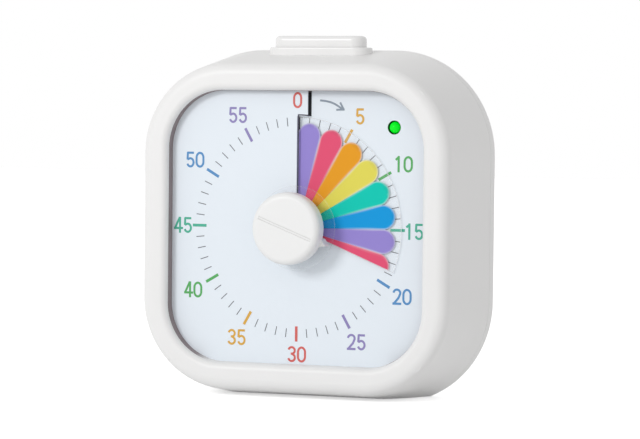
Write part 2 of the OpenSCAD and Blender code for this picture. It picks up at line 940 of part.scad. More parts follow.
module third_wheel() {
    color("khaki") {
        gear(third_at, wheel_a_y - 0.2, 1.4, pinion_teeth, wheel_module, pinion_thin,
            third_pinion_phase);
        arbor(third_at, [[pivot_front_y, pivot_r], [chassis_back_y + 0.2, 0.9],
            [wheel_b_y - 0.6, 1.6], [wheel_b_y + 0.8, 0.9], [bridge_y - 0.2, pivot_r]], pivot_back_y);
        difference() {
            gear(third_at, wheel_b_y, 0.8, third_teeth, fine_module, wheel_thin, third_wheel_phase);
            web_windows(third_at, wheel_b_y, 5, 5, 1.9);
        }
    }
}

module fourth_wheel() {
    color("khaki") {
        gear(fourth_at, wheel_b_y - 0.2, 1.2, pinion_teeth, fine_module, pinion_thin,
            fourth_pinion_phase);
        arbor(fourth_at, [[pivot_front_y, pivot_r], [chassis_back_y + 0.2, 0.8],
            [wheel_c_y - 0.6, 1.5], [wheel_c_y + 0.8, 0.8], [bridge_y - 0.2, pivot_r]], pivot_back_y);
        difference() {
            gear(fourth_at, wheel_c_y, 0.8, fourth_teeth, fine_module, wheel_thin, fourth_wheel_phase);
            web_windows(fourth_at, wheel_c_y, 4, 4, 1.5);
        }
    }
}

magnet_r = 2.2;
magnet_t = 1.6;

module rotor() {
    color("dimgray") {
        gear(rotor_at, wheel_c_y - 0.2, 1.2, pinion_teeth, fine_module, pinion_thin, rotor_phase);
        arbor(rotor_at, [[pivot_front_y, pivot_r], [chassis_back_y + 0.2, 0.8],
            [bridge_y - 0.2, pivot_r]], pivot_back_y);
    }
}

// two-pole magnet pressed on the rotor's arbor
module rotor_magnet() {
    color("slategray")
        difference() {
            arbor(rotor_at, [[stator_y - 0.2, magnet_r]], stator_y - 0.2 + magnet_t);
            arbor(rotor_at, [[stator_y - 1, 0.82]], stator_y + magnet_t + 1);
        }
}

coil_len = 13;
coil_r = 2.3;
flange_r = 2.75;
flange_t = 0.8;
tube_r = 2;
stator_y = dial_y + 5.05;
stator_t = 1.2;
stator_top = rotor_at[1] + 19;
coil_x = rotor_at[0] - 9;

module stator() {
    color("slategray")
        translate([0, stator_y + stator_t, dial_z])
            rotate([90, 0, 0])
                linear_extrude(stator_t)
                    difference() {
                        union() {
                            translate(rotor_at)
                                circle(4.4, $fn = smooth);
                            translate([coil_x - 1.5, rotor_at[1] - 2.2])
                                square([9, 4.4]);
                            translate([coil_x - 1.5, rotor_at[1] - 2.2])
                                square([3, stator_top - rotor_at[1] + 2.2]);
                            translate([coil_x - 1.5, stator_top - 3])
                                square([10.5, 3]);
                            translate([rotor_at[0] - 1.5, rotor_at[1] + 3])
                                square([3, stator_top - rotor_at[1] - 3]);
                        }
                        translate(rotor_at)
                            circle(2.7, $fn = smooth);
                    }
}

// place at the foot of the coil, with Z along the stator's limb
module on_limb() {
    translate([coil_x, stator_y + stator_t / 2, dial_z + rotor_at[1] + 2.8])
        children();
}

module coil_bobbin() {
    pin_r = 0.3;
    color("dimgray")
        on_limb()
            difference() {
                union() {
                    cylinder(r = tube_r, h = coil_len, $fn = smooth);
                    for (z = [0, coil_len - flange_t])
                        translate([0, 0, z])
                            cylinder(r = flange_r, h = flange_t, $fn = smooth);
                    // block with the two terminal pins
                    translate([-2.2, 1.2, coil_len - flange_t])
                        cube([4.4, 2.2, flange_t]);
                    for (x = pin_xs)
                        translate([x, 2.8, coil_len - tiny])
                            cylinder(r = pin_r, h = pin_h, $fn = 24);
                }
                translate([-1.55, -stator_t / 2 - 0.05, -1])
                    cube([3.1, stator_t + 0.1, coil_len + 2]);
            }
}
pin_xs = [-1.5, 1.5];
pin_h = 1.6;

module motor_coil() {
    color("peru")
        on_limb()
            translate([0, 0, flange_t])
                difference() {
                    cylinder(r = flange_r - 0.2, h = coil_len - 2 * flange_t, $fn = smooth);
                    translate([0, 0, -1])
                        cylinder(r = tube_r, h = coil_len + 2, $fn = smooth);
                }
}

// two insulated wires from the coil's pins to the board
module motor_leads() {
    lead_r = 0.4;
    color("firebrick")
        for (i = [0, 1]) {
            start = [coil_x + pin_xs[i], stator_y + stator_t / 2 + 2.8,
                dial_z + rotor_at[1] + 2.8 + coil_len + pin_h];
            finish = [motor_pad_x + 3 * i, board_y, motor_pad_z];
            wire([start, start + [0, 0, 2.5], finish - [0, 4, 0], finish], lead_r);
        }
}

// ---------- chassis and bridge ----------

bridge_posts = [[14, -10], [-30, -8], [-8, 16]];
board_y = bridge_y + 5;
board_thick = 1.6;
board_posts = [[-33, 29], [32, 22]];
notch_r = 3.4;

module post(at, y0, y1, r) {
    translate([at[0], y1, dial_z + at[1]])
        rotate([90, 0, 0])
            cylinder(r = r, h = y1 - y0, $fn = smooth);
}

module chassis() {
    color("lightgray")
        difference() {
            union() {
                on_dial(dial_y - chassis_back_y)
                    linear_extrude(chassis_thick)
                        difference() {
                            round_square(48.4, 22.5);
                            at_corners(cover_screw_at)
                                circle(notch_r, $fn = smooth);
                        }
                for (p = bridge_posts)
                    post(p, chassis_back_y - tiny, bridge_y, 2.4);
                for (p = board_posts)
                    post(p, chassis_back_y - tiny, board_y, 2.4);
                // tube that carries the lamp up to the card
                post([lamp_offset, lamp_offset], chassis_y - 0.6, chassis_back_y + 4, 4);
            }
            post([0, 0], chassis_y - 1, chassis_back_y + 1, 3);
            for (p = [third_at, fourth_at, rotor_at])
                post(p, chassis_y + 0.4, chassis_back_y + 1, pivot_r + running);
            post([lamp_offset, lamp_offset], chassis_y - 5, chassis_back_y + 6, 2.6);
            for (p = bridge_posts)
                post(p, bridge_y - 5, bridge_y + 1, 0.8);
            for (p = board_posts)
                post(p, board_y - 5, board_y + 1, 0.8);
            translate([0, 0, dial_z])
                chassis_places()
                    translate([0, chassis_back_y + 1, 0])
                        rotate([90, 0, 0])
                            cylinder(r = 0.9, h = 6, $fn = smooth);
        }
}

module chassis_screws() {
    color("silver")
        translate([0, chassis_back_y, dial_z])
            chassis_places()
                rotate([90, 0, 0])
                    screw(1.9, 1.1, 0.75, 5.5);
}

module bridge() {
    color("lightgray")
        translate([0, bridge_y + bridge_thick, dial_z])
            rotate([90, 0, 0])
                difference() {
                    linear_extrude(bridge_thick)
                        difference() {
                            union() {
                                bridge_limb([0, 0], bridge_posts[0], 4);
                                bridge_limb([0, 0], third_at, 4);
                                bridge_limb([0, 0], bridge_posts[2], 4);
                                bridge_limb(third_at, fourth_at, 4);
                                bridge_limb(fourth_at, bridge_posts[1], 4);
                                bridge_limb(fourth_at, rotor_at, 4);
                                bridge_limb(rotor_at, bridge_posts[2], 4);
                            }
                            circle(1.4 + running, $fn = smooth);
                            for (p = [third_at, fourth_at, rotor_at])
                                translate(p)
                                    circle(pivot_r + running, $fn = smooth);
                            for (p = bridge_posts)
                                translate(p)
                                    circle(1.2, $fn = smooth);
                        }
                }
}

// limb with round eyes at its two ends
module bridge_limb(a, b, r) {
    d = b - a;
    translate(a)
        circle(r, $fn = smooth);
    translate(b)
        circle(r, $fn = smooth);
    translate(a)
        rotate(atan2(d[1], d[0]))
            translate([0, -0.85 * r])
                square([norm(d), 1.7 * r]);
}

module bridge_screws() {
    color("silver")
        for (p = bridge_posts)
            translate([p[0], bridge_y + bridge_thick, dial_z + p[1]])
                rotate([90, 0, 0])
                    screw(1.9, 1.1, 0.75, 5);
}

// ---------- board ----------

board_x0 = -36;
board_x1 = 36;
board_z0 = dial_z + 16;
board_z1 = switch_top - 1;

module circuit_board() {
    color("seagreen")
        difference() {
            translate([board_x0, board_y, board_z0])
                cube([board_x1 - board_x0, board_thick, board_z1 - board_z0]);
            // notch that the push switch sits in
            translate([-switch_size[0] / 2 - 0.3, board_y - 1, switch_top - switch_size[2]])
                cube([switch_size[0] + 0.6, 5, 20]);
            for (p = board_posts)
                post(p, board_y - 2, board_y + 4, 1.2);
            for (s = [-1, 1])
                post([lamp_offset + s * 1.27, lamp_offset], board_y - 2, board_y + 4, 0.35);
        }
}

motor_pad_x = -27;
motor_pad_z = dial_z + 25;

// chip resistors with their solder ends, in a row beside the chip
module chip_resistors() {
    color("black")
        for (i = [0 : 3])
            translate([12 - 6.5 * i, board_y + board_thick, dial_z + 35.5])
                cube([1.2, 0.6, 2]);
}

module capacitor() {
    groove_h = 1.1;
    color("midnightblue")
        translate([-14, board_y + board_thick, dial_z + 25])
            rotate([-90, 0, 0])
                difference() {
                    cylinder(r = 2.5, h = 7, $fn = smooth);
                    translate([0, 0, groove_h])
                        rotate_extrude($fn = smooth)
                            translate([2.65, 0])
                                circle(0.35, $fn = 24);
                }
}

module board_screws() {
    color("silver")
        for (p = board_posts)
            translate([p[0], board_y + board_thick, dial_z + p[1]])
                rotate([90, 0, 0])
                    screw(1.9, 1.1, 0.75, 5);
}

module chip_drop() {
    color("black")
        translate([6, board_y + board_thick, dial_z + 25])
            rotate([-90, 0, 0])
                rotate_extrude($fn = smooth)
                    intersection() {
                        translate([0, -7.6])
                            circle(9, $fn = smooth);
                        square([9, 9]);
                    }
}

module crystal() {
    color("silver") {
        translate([-8, board_y + board_thick + 1.1, dial_z + 23])
            cylinder(r = 1, h = 6, $fn = smooth);
        for (s = [-1, 1])
            translate([-8 + s * 0.4, board_y + board_thick + 1.1, dial_z + 21])
                cylinder(r = 0.15, h = 2 + tiny, $fn = 24);
    }
}

module indicator_lamp() {
    lamp_r = 1.95;
    lamp_front = dial_y - 0.5;
    color("lime") {
        translate([lamp_offset, lamp_front + 1.9, dial_z + lamp_offset]) {
            rotate([90, 0, 0])
                rotate_extrude($fn = smooth)
                    intersection() {
                        circle(lamp_r, $fn = smooth);
                        square([5, 5]);
                    }
            rotate([-90, 0, 0])
                cylinder(r = lamp_r, h = 3.4, $fn = smooth);
            translate([0, 3.4 - tiny, 0])
                rotate([-90, 0, 0])
                    cylinder(r = 2.4, h = 0.9, $fn = smooth);
        }
        for (s = [-1, 1])
            post([lamp_offset + s * 1.27, lamp_offset], lamp_front + 6.1, board_y + board_thick + 1, 0.25);
    }
}

module buzzer() {
    color("black")
        translate([buzzer_x, board_y + board_thick, buzzer_z])
            rotate([-90, 0, 0])
                difference() {
                    cylinder(r = 6, h = 6.5, $fn = smooth);
                    translate([0, 0, 5])
                        cylinder(r = 1.1, h = 3, $fn = smooth);
                }
}

module slide_switch() {
    color("silver")
        difference() {
            translate([slider_x - 5, board_y + board_thick, slider_z - 2.2])
                cube([10, 4, 4.4]);
            translate([slider_x - 1.2 - slider_travel, board_y + board_thick + 1.5, slider_z - 1.2])
                cube([2.4 + 2 * slider_travel, 4, 2.4]);
        }
}

module sound_slider() {
    color("dimgray") {
        translate([slider_rest_x - 1, board_y + board_thick + 1.8, slider_z - 1])
            cube([2, back_y - board_y - board_thick - 4.9, 2]);
        translate([slider_rest_x - 2.8, back_y - 3.2, slider_z - 1.5])
            cube([5.6, 2.6, 3]);
        for (i = [-1 : 1])
            translate([slider_rest_x - 0.25 + i * 1.6, back_y - 0.6 - tiny, slider_z - 1.5])
                cube([0.5, 0.4, 3]);
    }
}

// ---------- cells ----------

cap_t = 0.2;
nub_h = 0.8;

// each cell lies along X, its positive end towards +X in the lower place, -X in the upper
module along_cell(i) {
    translate([0, cell_y, cell_zs[i]])
        mirror([i, 0, 0])
            rotate([0, 90, 0])
                translate([0, 0, -cell_len / 2])
                    children();
}

module cells() {
    color("steelblue")
        for (i = [0, 1])
            along_cell(i)
                translate([0, 0, cap_t])
                    cylinder(r = cell_r, h = cell_len - nub_h - 2 * cap_t, $fn = smooth);
}

module cell_caps() {
    color("silver")
        for (i = [0, 1])
            along_cell(i) {
                cylinder(r = cell_r - 0.8, h = cap_t, $fn = smooth);
                translate([0, 0, cell_len - nub_h - cap_t]) {
                    cylinder(r = cell_r - 0.6, h = cap_t, $fn = smooth);
                    cylinder(r = 1.9, h = nub_h + cap_t, $fn = smooth);
                }
            }
}

plate_t = 0.5;
plate_half = 4;
contact_gap = bay_half - cell_len / 2 - plate_t;

// end plates with a dimple for the nub; at +X a strip joins the plate to the other cell's
module positive_plates() {
    color("silver") {
        for (i = [0, 1])
            translate([0, cell_y, cell_zs[i]])
                mirror([i, 0, 0])
                    translate([bay_half - plate_t, 0, 0]) {
                        translate([0, -plate_half, -plate_half])
                            cube([plate_t, 2 * plate_half, 2 * plate_half]);
                        rotate([0, -90, 0])
                            cylinder(r = 2.2, h = contact_gap, $fn = smooth);
                    }
        translate([bay_half - plate_t, cell_y - 1.5, cell_zs[0] + plate_half])
            cube([plate_t, 3, cell_pitch - 2 * plate_half]);
        translate([-bay_half - tag_out, cell_y - tag_t / 2, cell_zs[1] - tag_w / 2])
            cube([tag_out, tag_t, tag_w]);
    }
}
tag_out = 3;

// conical coils of round wire that push on the cells' flat ends
module negative_springs() {
    turns = 3.5;
    wire_r = 0.25;
    base_r = 3.5;
    tip_r = 2.2;
    n = 56;
    function centre(t) = let (a = 360 * turns * t, r = base_r + (tip_r - base_r) * t)
        [wire_r * 1.2 + (contact_gap - wire_r * 2.4) * t, r * cos(a), r * sin(a)];
    function along(t) = centre(t + 0.001) - centre(t - 0.001);
    color("silver") {
        for (i = [0, 1])
            translate([0, cell_y, cell_zs[i]])
                mirror([i, 0, 0])
                    translate([plate_t - bay_half, 0, 0]) {
                        translate([-plate_t, -plate_half, -plate_half])
                            cube([plate_t, 2 * plate_half, 2 * plate_half]);
                        swept_tube([for (j = [0 : n]) centre(j / n)], [for (j = [0 : n]) along(j / n)],
                            wire_r, 6);
                    }
        translate([-bay_half - tag_out, cell_y - tag_t / 2, cell_zs[0] - tag_w / 2])
            cube([tag_out, tag_t, tag_w]);
    }
}

// two insulated wires from the contacts' tags up to the board
module cell_leads() {
    lead_r = 0.5;
    color("firebrick")
        for (i = [0, 1]) {
            start = [-bay_half - tag_out + 0.8, cell_y + tag_t / 2 + lead_r,
                cell_zs[i]];
            finish = [-34 + 3 * i, board_y + board_thick, board_z0 + 2.5];
            wire([start, start + [6 * i - 8, 0.6, 16], finish + [0, 7, 0], finish], lead_r);
        }
}

front_housing();
rear_cover();
cover_screws();
button_collar();
top_button();
switch_plunger();
push_switch();
dial_card();
dial_clamp();
dial_spacer();
color_disc();
disc_washer();
knob();
spindle();
centre_wheel();
clutch_spring();
spindle_clip();
spindle_bush();
chassis();
chassis_screws();
third_wheel();
fourth_wheel();
rotor();
rotor_magnet();
stator();
coil_bobbin();
motor_coil();
motor_leads();
bridge();
bridge_screws();
circuit_board();
board_screws();
chip_drop();
chip_resistors();
capacitor();
crystal();
indicator_lamp();
buzzer();
slide_switch();
sound_slider();
cells();
cell_caps();
positive_plates();
negative_springs();
cell_leads();
battery_door();
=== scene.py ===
import math

import bpy
from mathutils import Matrix, Vector


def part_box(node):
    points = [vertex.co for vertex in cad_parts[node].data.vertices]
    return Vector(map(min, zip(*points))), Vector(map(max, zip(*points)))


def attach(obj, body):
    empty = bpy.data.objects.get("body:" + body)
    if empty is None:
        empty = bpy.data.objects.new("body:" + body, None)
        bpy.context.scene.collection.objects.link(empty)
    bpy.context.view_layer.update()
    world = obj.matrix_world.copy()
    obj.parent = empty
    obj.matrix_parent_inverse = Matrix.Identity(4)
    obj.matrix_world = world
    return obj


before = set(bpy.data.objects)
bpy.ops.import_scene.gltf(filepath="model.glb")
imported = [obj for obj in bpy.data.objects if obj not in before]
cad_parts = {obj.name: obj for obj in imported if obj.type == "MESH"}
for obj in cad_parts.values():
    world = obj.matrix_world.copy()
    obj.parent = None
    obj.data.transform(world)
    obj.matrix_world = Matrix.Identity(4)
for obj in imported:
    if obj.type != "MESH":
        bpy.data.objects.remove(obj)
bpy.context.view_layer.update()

# ---------------------------------------------------------------- camera
# A short telephoto at eye level, a little to the right of the timer, close enough to
# fill the picture with the case. Its lens and place were surveyed from the dial's marks.
yaw = math.radians(21.7)
pitch = math.radians(2.08)
roll = math.radians(0.63)
focal_pixels, picture_width, sensor_width = 2961.955, 640, 36
forward = Vector((-math.sin(yaw) * math.cos(pitch), math.cos(yaw) * math.cos(pitch), -math.sin(pitch)))
level = Vector((math.cos(yaw), math.sin(yaw), 0))
upright = level.cross(forward)
across = level * math.cos(roll) + upright * math.sin(roll)
above = upright * math.cos(roll) - level * math.sin(roll)
eye = Vector((0.343136, -0.854714, 0.088190))
lens = bpy.data.cameras.new("eye")
lens.lens = sensor_width * focal_pixels / picture_width
lens.sensor_width = sensor_width
lens.clip_start = 0.05
camera = bpy.data.objects.new("eye", lens)
camera.matrix_world = Matrix((
    (across.x, above.x, -forward.x, eye.x),
    (across.y, above.y, -forward.y, eye.y),
    (across.z, above.z, -forward.z, eye.z),
    (0, 0, 0, 1)))
bpy.context.scene.collection.objects.link(camera)
bpy.context.scene.camera = camera
bpy.context.scene.view_settings.view_transform = "Standard"


# ---------------------------------------------------------------- case
# Two mouldings in white ABS, a front housing and a rear cover, spark-eroded to a fine
# satin. Screws through the cover pull the halves together on a tongue.
def new_group(tree_kind, name, inputs, outputs):
    group = bpy.data.node_groups.new(name, tree_kind)
    for label, kind, value in inputs:
        socket = group.interface.new_socket(label, in_out="INPUT", socket_type=kind)
        if value is not None:
            socket.default_value = value
    for label, kind in outputs:
        group.interface.new_socket(label, in_out="OUTPUT", socket_type=kind)
    nodes = group.nodes
    return group, nodes, group.links, nodes.new("NodeGroupInput"), nodes.new("NodeGroupOutput")


# one sum on numbers and sockets
def sums(nodes, links, operation, *values):
    made = nodes.new("ShaderNodeMath")
    made.operation = operation
    for i, value in enumerate(values):
        if isinstance(value, (int, float)):
            made.inputs[i].default_value = value
        else:
            links.new(value, made.inputs[i])
    return made.outputs[0]


# grain of a moulded, printed or ground surface: fine bumps, cloudy tone, patchy gloss
grain, gn, gl, g_in, g_out = new_group(
    "ShaderNodeTree", "grain",
    [("Vector", "NodeSocketVector", None), ("Colour", "NodeSocketColor", (0.8, 0.8, 0.8, 1)),
     ("Fleck", "NodeSocketFloat", 0.03), ("Fine", "NodeSocketFloat", 5000.0),
     ("Cloud", "NodeSocketFloat", 60.0), ("Gloss low", "NodeSocketFloat", 0.3),
     ("Gloss high", "NodeSocketFloat", 0.5)],
    [("Colour", "NodeSocketColor"), ("Roughness", "NodeSocketFloat"), ("Height", "NodeSocketFloat")])
fine, cloud = gn.new("ShaderNodeTexNoise"), gn.new("ShaderNodeTexNoise")
for noise, scale, detail in ((fine, "Fine", 3), (cloud, "Cloud", 4)):
    noise.inputs["Detail"].default_value = detail
    gl.new(g_in.outputs["Vector"], noise.inputs["Vector"])
    gl.new(g_in.outputs[scale], noise.inputs["Scale"])
centred = sums(gn, gl, "SUBTRACT", cloud.outputs[0], 0.5)
weight = sums(gn, gl, "MULTIPLY_ADD", centred, g_in.outputs["Fleck"], 1.0)
tinted = gn.new("ShaderNodeVectorMath")
tinted.operation = "SCALE"
gl.new(g_in.outputs["Colour"], tinted.inputs[0])
gl.new(weight, tinted.inputs["Scale"])
gloss = gn.new("ShaderNodeMapRange")
gloss.inputs["From Min"].default_value = 0.3
gloss.inputs["From Max"].default_value = 0.7
gl.new(cloud.outputs[0], gloss.inputs["Value"])
gl.new(g_in.outputs["Gloss low"], gloss.inputs["To Min"])
gl.new(g_in.outputs["Gloss high"], gloss.inputs["To Max"])
gl.new(tinted.outputs[0], g_out.inputs["Colour"])
gl.new(gloss.outputs[0], g_out.inputs["Roughness"])
gl.new(fine.outputs[0], g_out.inputs["Height"])


def wiring(made):
    return made.node_tree.nodes, made.node_tree.links


# a finish with that grain: bump is its height in metres, clear its opacity
def grained(name, colour, fleck=0.03, fine=5000, cloud=60, low=0.3, high=0.5, bump=0.00002, depth=0.4,
            metal=0.0, clear=1.0):
    made = bpy.data.materials.new(name)
    made.use_nodes = True
    nodes, links = wiring(made)
    bsdf = nodes["Principled BSDF"]
    place = nodes.new("ShaderNodeTexCoord")
    surface = nodes.new("ShaderNodeGroup")
    surface.node_tree = grain
    surface.inputs["Colour"].default_value = (*colour, 1)
    surface.inputs["Fleck"].default_value = fleck
    surface.inputs["Fine"].default_value = fine
    surface.inputs["Cloud"].default_value = cloud
    surface.inputs["Gloss low"].default_value = low
    surface.inputs["Gloss high"].default_value = high
    relief = nodes.new("ShaderNodeBump")
    relief.inputs["Distance"].default_value = bump
    relief.inputs["Strength"].default_value = depth
    links.new(place.outputs["Object"], surface.inputs["Vector"])
    links.new(surface.outputs["Colour"], bsdf.inputs["Base Color"])
    links.new(surface.outputs["Roughness"], bsdf.inputs["Roughness"])
    links.new(surface.outputs["Height"], relief.inputs["Height"])
    links.new(relief.outputs["Normal"], bsdf.inputs["Normal"])
    bsdf.inputs["Metallic"].default_value = metal
    bsdf.inputs["Alpha"].default_value = clear
    return made


def dress(made, *pieces):
    for piece in pieces:
        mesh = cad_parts[piece].data
        mesh.materials.clear()
        mesh.materials.append(made)


case_white = (0.82, 0.815, 0.81)
white_abs = grained("white_abs_satin", case_white, fleck=0.02, fine=3500, low=0.38, high=0.46)
dress(white_abs, "front_housing", "rear_cover", "battery_door")
zinc = grained("zinc_plate", (0.62, 0.63, 0.65), fleck=0.15, fine=2500, cloud=300, low=0.22, high=0.4,
               metal=1.0)
dress(zinc, "cover_screws")

# ---------------------------------------------------------------- top button
# A long rounded key in glossier white ABS that rises out of a low collar; its stem
# presses the switch on the board's edge.
gloss_abs = grained("white_abs_gloss", (0.83, 0.825, 0.82), fleck=0.015, fine=2500, low=0.2, high=0.3,
                    depth=0.2)
dress(gloss_abs, "button_collar", "top_button")
black_nylon = grained("black_nylon", (0.02, 0.02, 0.022), fleck=0.3, low=0.35, high=0.5)
dress(black_nylon, "switch_plunger")
nickel = grained("nickel_plate", (0.66, 0.64, 0.6), fleck=0.1, fine=3000, cloud=250, low=0.18, high=0.32,
                 metal=1.0)
dress(nickel, "push_switch")

# ---------------------------------------------------------------- dial card
# A die-cut card, printed matt in a cool white, that climbs one thread of a screw from
# one side of its slit to the other. Its ink stands a hair over the face.
dial_y = -0.0106
dial_z = 0.0525
dial_centre = (0, 0, dial_z)
card_thick = 0.00035
rise = 0.0012
slit_step = 0.0345
slit_inside, slit_outside = 0.00035, 0.00406
ink_lift = 0.00003
printed_card = grained("printed_card", (0.775, 0.832, 0.89), fleck=0.012, fine=9000, cloud=25,
                       low=0.5, high=0.6, bump=0.000008, depth=0.3)
dress(printed_card, "dial_card")

# how far a point lies along an axis through an origin, and how far away from that axis
gauge, gn, gl, g_in, g_out = new_group(
    "ShaderNodeTree", "axis_gauge",
    [("Vector", "NodeSocketVector", None), ("Origin", "NodeSocketVector", (0, 0, 0)),
     ("Axis", "NodeSocketVector", (0, 1, 0))],
    [("Along", "NodeSocketFloat"), ("Away", "NodeSocketFloat")])
offset, reach, foot, arm, span = (gn.new("ShaderNodeVectorMath") for _ in range(5))
offset.operation, reach.operation, foot.operation = "SUBTRACT", "DOT_PRODUCT", "SCALE"
arm.operation, span.operation = "SUBTRACT", "LENGTH"
gl.new(g_in.outputs["Vector"], offset.inputs[0])
gl.new(g_in.outputs["Origin"], offset.inputs[1])
gl.new(offset.outputs[0], reach.inputs[0])
gl.new(g_in.outputs["Axis"], reach.inputs[1])
gl.new(g_in.outputs["Axis"], foot.inputs[0])
gl.new(reach.outputs["Value"], foot.inputs["Scale"])
gl.new(offset.outputs[0], arm.inputs[0])
gl.new(foot.outputs[0], arm.inputs[1])
gl.new(arm.outputs[0], span.inputs[0])
gl.new(reach.outputs["Value"], g_out.inputs["Along"])
gl.new(span.outputs["Value"], g_out.inputs["Away"])


# one reading of a point's place on its piece, Along or Away from an axis
def measured(made, reading, origin=(0, 0, 0), axis=(0, 1, 0)):
    nodes, links = wiring(made)
    place = nodes.new("ShaderNodeTexCoord")
    ruler = nodes.new("ShaderNodeGroup")
    ruler.node_tree = gauge
    ruler.inputs["Origin"].default_value = origin
    ruler.inputs["Axis"].default_value = axis
    links.new(place.outputs["Object"], ruler.inputs["Vector"])
    return ruler.outputs[reading]


def ramp(made, value, low, high, at_low=0.0, at_high=1.0):
    nodes, links = wiring(made)
    spread = nodes.new("ShaderNodeMapRange")
    for label, number in (("From Min", low), ("From Max", high), ("To Min", at_low), ("To Max", at_high)):
        spread.inputs[label].default_value = number
    links.new(value, spread.inputs["Value"])
    return spread.outputs[0]


# a second colour, and where it is metal a second shine, over the first wherever the mask is 1
def over(made, mask, colour, metal=False):
    nodes, links = wiring(made)
    bsdf = nodes["Principled BSDF"]
    mix = nodes.new("ShaderNodeMix")
    mix.data_type = "RGBA"
    links.new(mask, mix.inputs[0])
    links.new(bsdf.inputs["Base Color"].links[0].from_socket, mix.inputs[6])
    mix.inputs[7].default_value = (*colour, 1)
    links.new(mix.outputs[2], bsdf.inputs["Base Color"])
    if metal:
        links.new(mask, bsdf.inputs["Metallic"])


# the frame round the card is painted grey as the shade in the gap at the card's left and top; its lower run,
# under the 30, where the light falls, is white as the case is
painted_shade_frame = grained("painted_shade_frame", (0.25, 0.205, 0.212), fleck=0.05, low=0.45, high=0.6)
above_feet = measured(painted_shade_frame, "Along", axis=(0, 0, 1))
over(painted_shade_frame, ramp(painted_shade_frame, above_feet, low=0.0125, high=0.0108), case_white)
dress(painted_shade_frame, "dial_clamp", "dial_spacer")


def node_tree(name, inputs):
    geometry = "NodeSocketGeometry"
    return new_group("GeometryNodeTree", name, [("Geometry", geometry, None), *inputs],
                     [("Geometry", geometry)])


# lays flat work on the winding: each point steps towards the reader by its share of a turn,
# counted clockwise from the slit at Start, which lies further aside beyond slit_step
wind, wn, wl, w_in, w_out = node_tree(
    "wind", [("Rise", "NodeSocketFloat", rise), ("Base", "NodeSocketFloat", 0.0),
             ("Start", "NodeSocketFloat", 0.0), ("Slit inside", "NodeSocketFloat", 0.0),
             ("Slit outside", "NodeSocketFloat", 0.0)])
place = wn.new("GeometryNodeInputPosition")
parts = wn.new("ShaderNodeSeparateXYZ")
wl.new(place.outputs[0], parts.inputs[0])
x, z = parts.outputs["X"], parts.outputs["Z"]
turned = sums(wn, wl, "ARCTAN2", x, z)
squares = sums(wn, wl, "ADD", sums(wn, wl, "MULTIPLY", x, x), sums(wn, wl, "MULTIPLY", z, z))
radius = sums(wn, wl, "SQRT", squares)
outside = sums(wn, wl, "GREATER_THAN", radius, slit_step)
step = sums(wn, wl, "SUBTRACT", w_in.outputs["Slit outside"], w_in.outputs["Slit inside"])
slit = sums(wn, wl, "MULTIPLY_ADD", step, outside, w_in.outputs["Slit inside"])
lag = sums(wn, wl, "ARCSINE", sums(wn, wl, "DIVIDE", slit, sums(wn, wl, "MAXIMUM", radius, 0.001)))
behind = sums(wn, wl, "SUBTRACT", sums(wn, wl, "SUBTRACT", turned, w_in.outputs["Start"]), lag)
share = sums(wn, wl, "DIVIDE", sums(wn, wl, "FLOORED_MODULO", behind, 2 * math.pi), 2 * math.pi)
height = sums(wn, wl, "MULTIPLY_ADD", share, w_in.outputs["Rise"], w_in.outputs["Base"])
shift = wn.new("ShaderNodeCombineXYZ")
wl.new(sums(wn, wl, "SUBTRACT", dial_y, height), shift.inputs["Y"])
shift.inputs["Z"].default_value = dial_z
moved = wn.new("GeometryNodeSetPosition")
wl.new(w_in.outputs["Geometry"], moved.inputs["Geometry"])
wl.new(shift.outputs[0], moved.inputs["Offset"])
wl.new(moved.outputs[0], w_out.inputs[0])


# copies of the piece given to a tree, each turned about the dial's axis
def turned_copies(nodes, links, given, angle):
    ring = nodes.new("GeometryNodePoints")
    turn = nodes.new("ShaderNodeCombineXYZ")
    copies = nodes.new("GeometryNodeInstanceOnPoints")
    links.new(given.outputs["Count"], ring.inputs["Count"])
    links.new(angle, turn.inputs["Y"])
    links.new(ring.outputs[0], copies.inputs["Points"])
    links.new(given.outputs["Geometry"], copies.inputs["Instance"])
    links.new(turn.outputs[0], copies.inputs["Rotation"])
    return copies.outputs[0]


# the end of a tree: its copies are made real, laid on the winding and inked
def wind_and_ink(nodes, links, flat, given, out, settings):
    real = nodes.new("GeometryNodeRealizeInstances")
    wound = nodes.new("GeometryNodeGroup")
    wound.node_tree = wind
    for label, value in settings.items():
        if isinstance(value, float):
            wound.inputs[label].default_value = value
        else:
            links.new(value, wound.inputs[label])
    inked = nodes.new("GeometryNodeSetMaterial")
    links.new(flat, real.inputs[0])
    links.new(real.outputs[0], wound.inputs["Geometry"])
    links.new(wound.outputs[0], inked.inputs["Geometry"])
    links.new(given.outputs["Ink"], inked.inputs["Material"])
    links.new(inked.outputs[0], out.inputs[0])


def run_tree(obj, tree, **values):
    modifier = obj.modifiers.new("nodes", "NODES")
    modifier.node_group = tree
    for item in tree.interface.items_tree:
        if item.item_type == "SOCKET" and item.in_out == "INPUT" and item.name in values:
            modifier[item.identifier] = values[item.name]
    graph = bpy.context.evaluated_depsgraph_get()
    mesh = bpy.data.meshes.new_from_object(obj.evaluated_get(graph), depsgraph=graph)
    obj.modifiers.remove(modifier)
    obj.data = mesh
    return obj


def flat_piece(name, points, faces, made):
    mesh = bpy.data.meshes.new(name)
    mesh.from_pydata(points, [], faces)
    mesh.materials.append(made)
    obj = bpy.data.objects.new(name, mesh)
    bpy.context.scene.collection.objects.link(obj)
    return obj


# faces up a strip whose points run in pairs from one end to the other
def rungs(count, first=0):
    return [(first + 2 * i, first + 2 * i + 1, first + 2 * i + 3, first + 2 * i + 2) for i in range(count)]


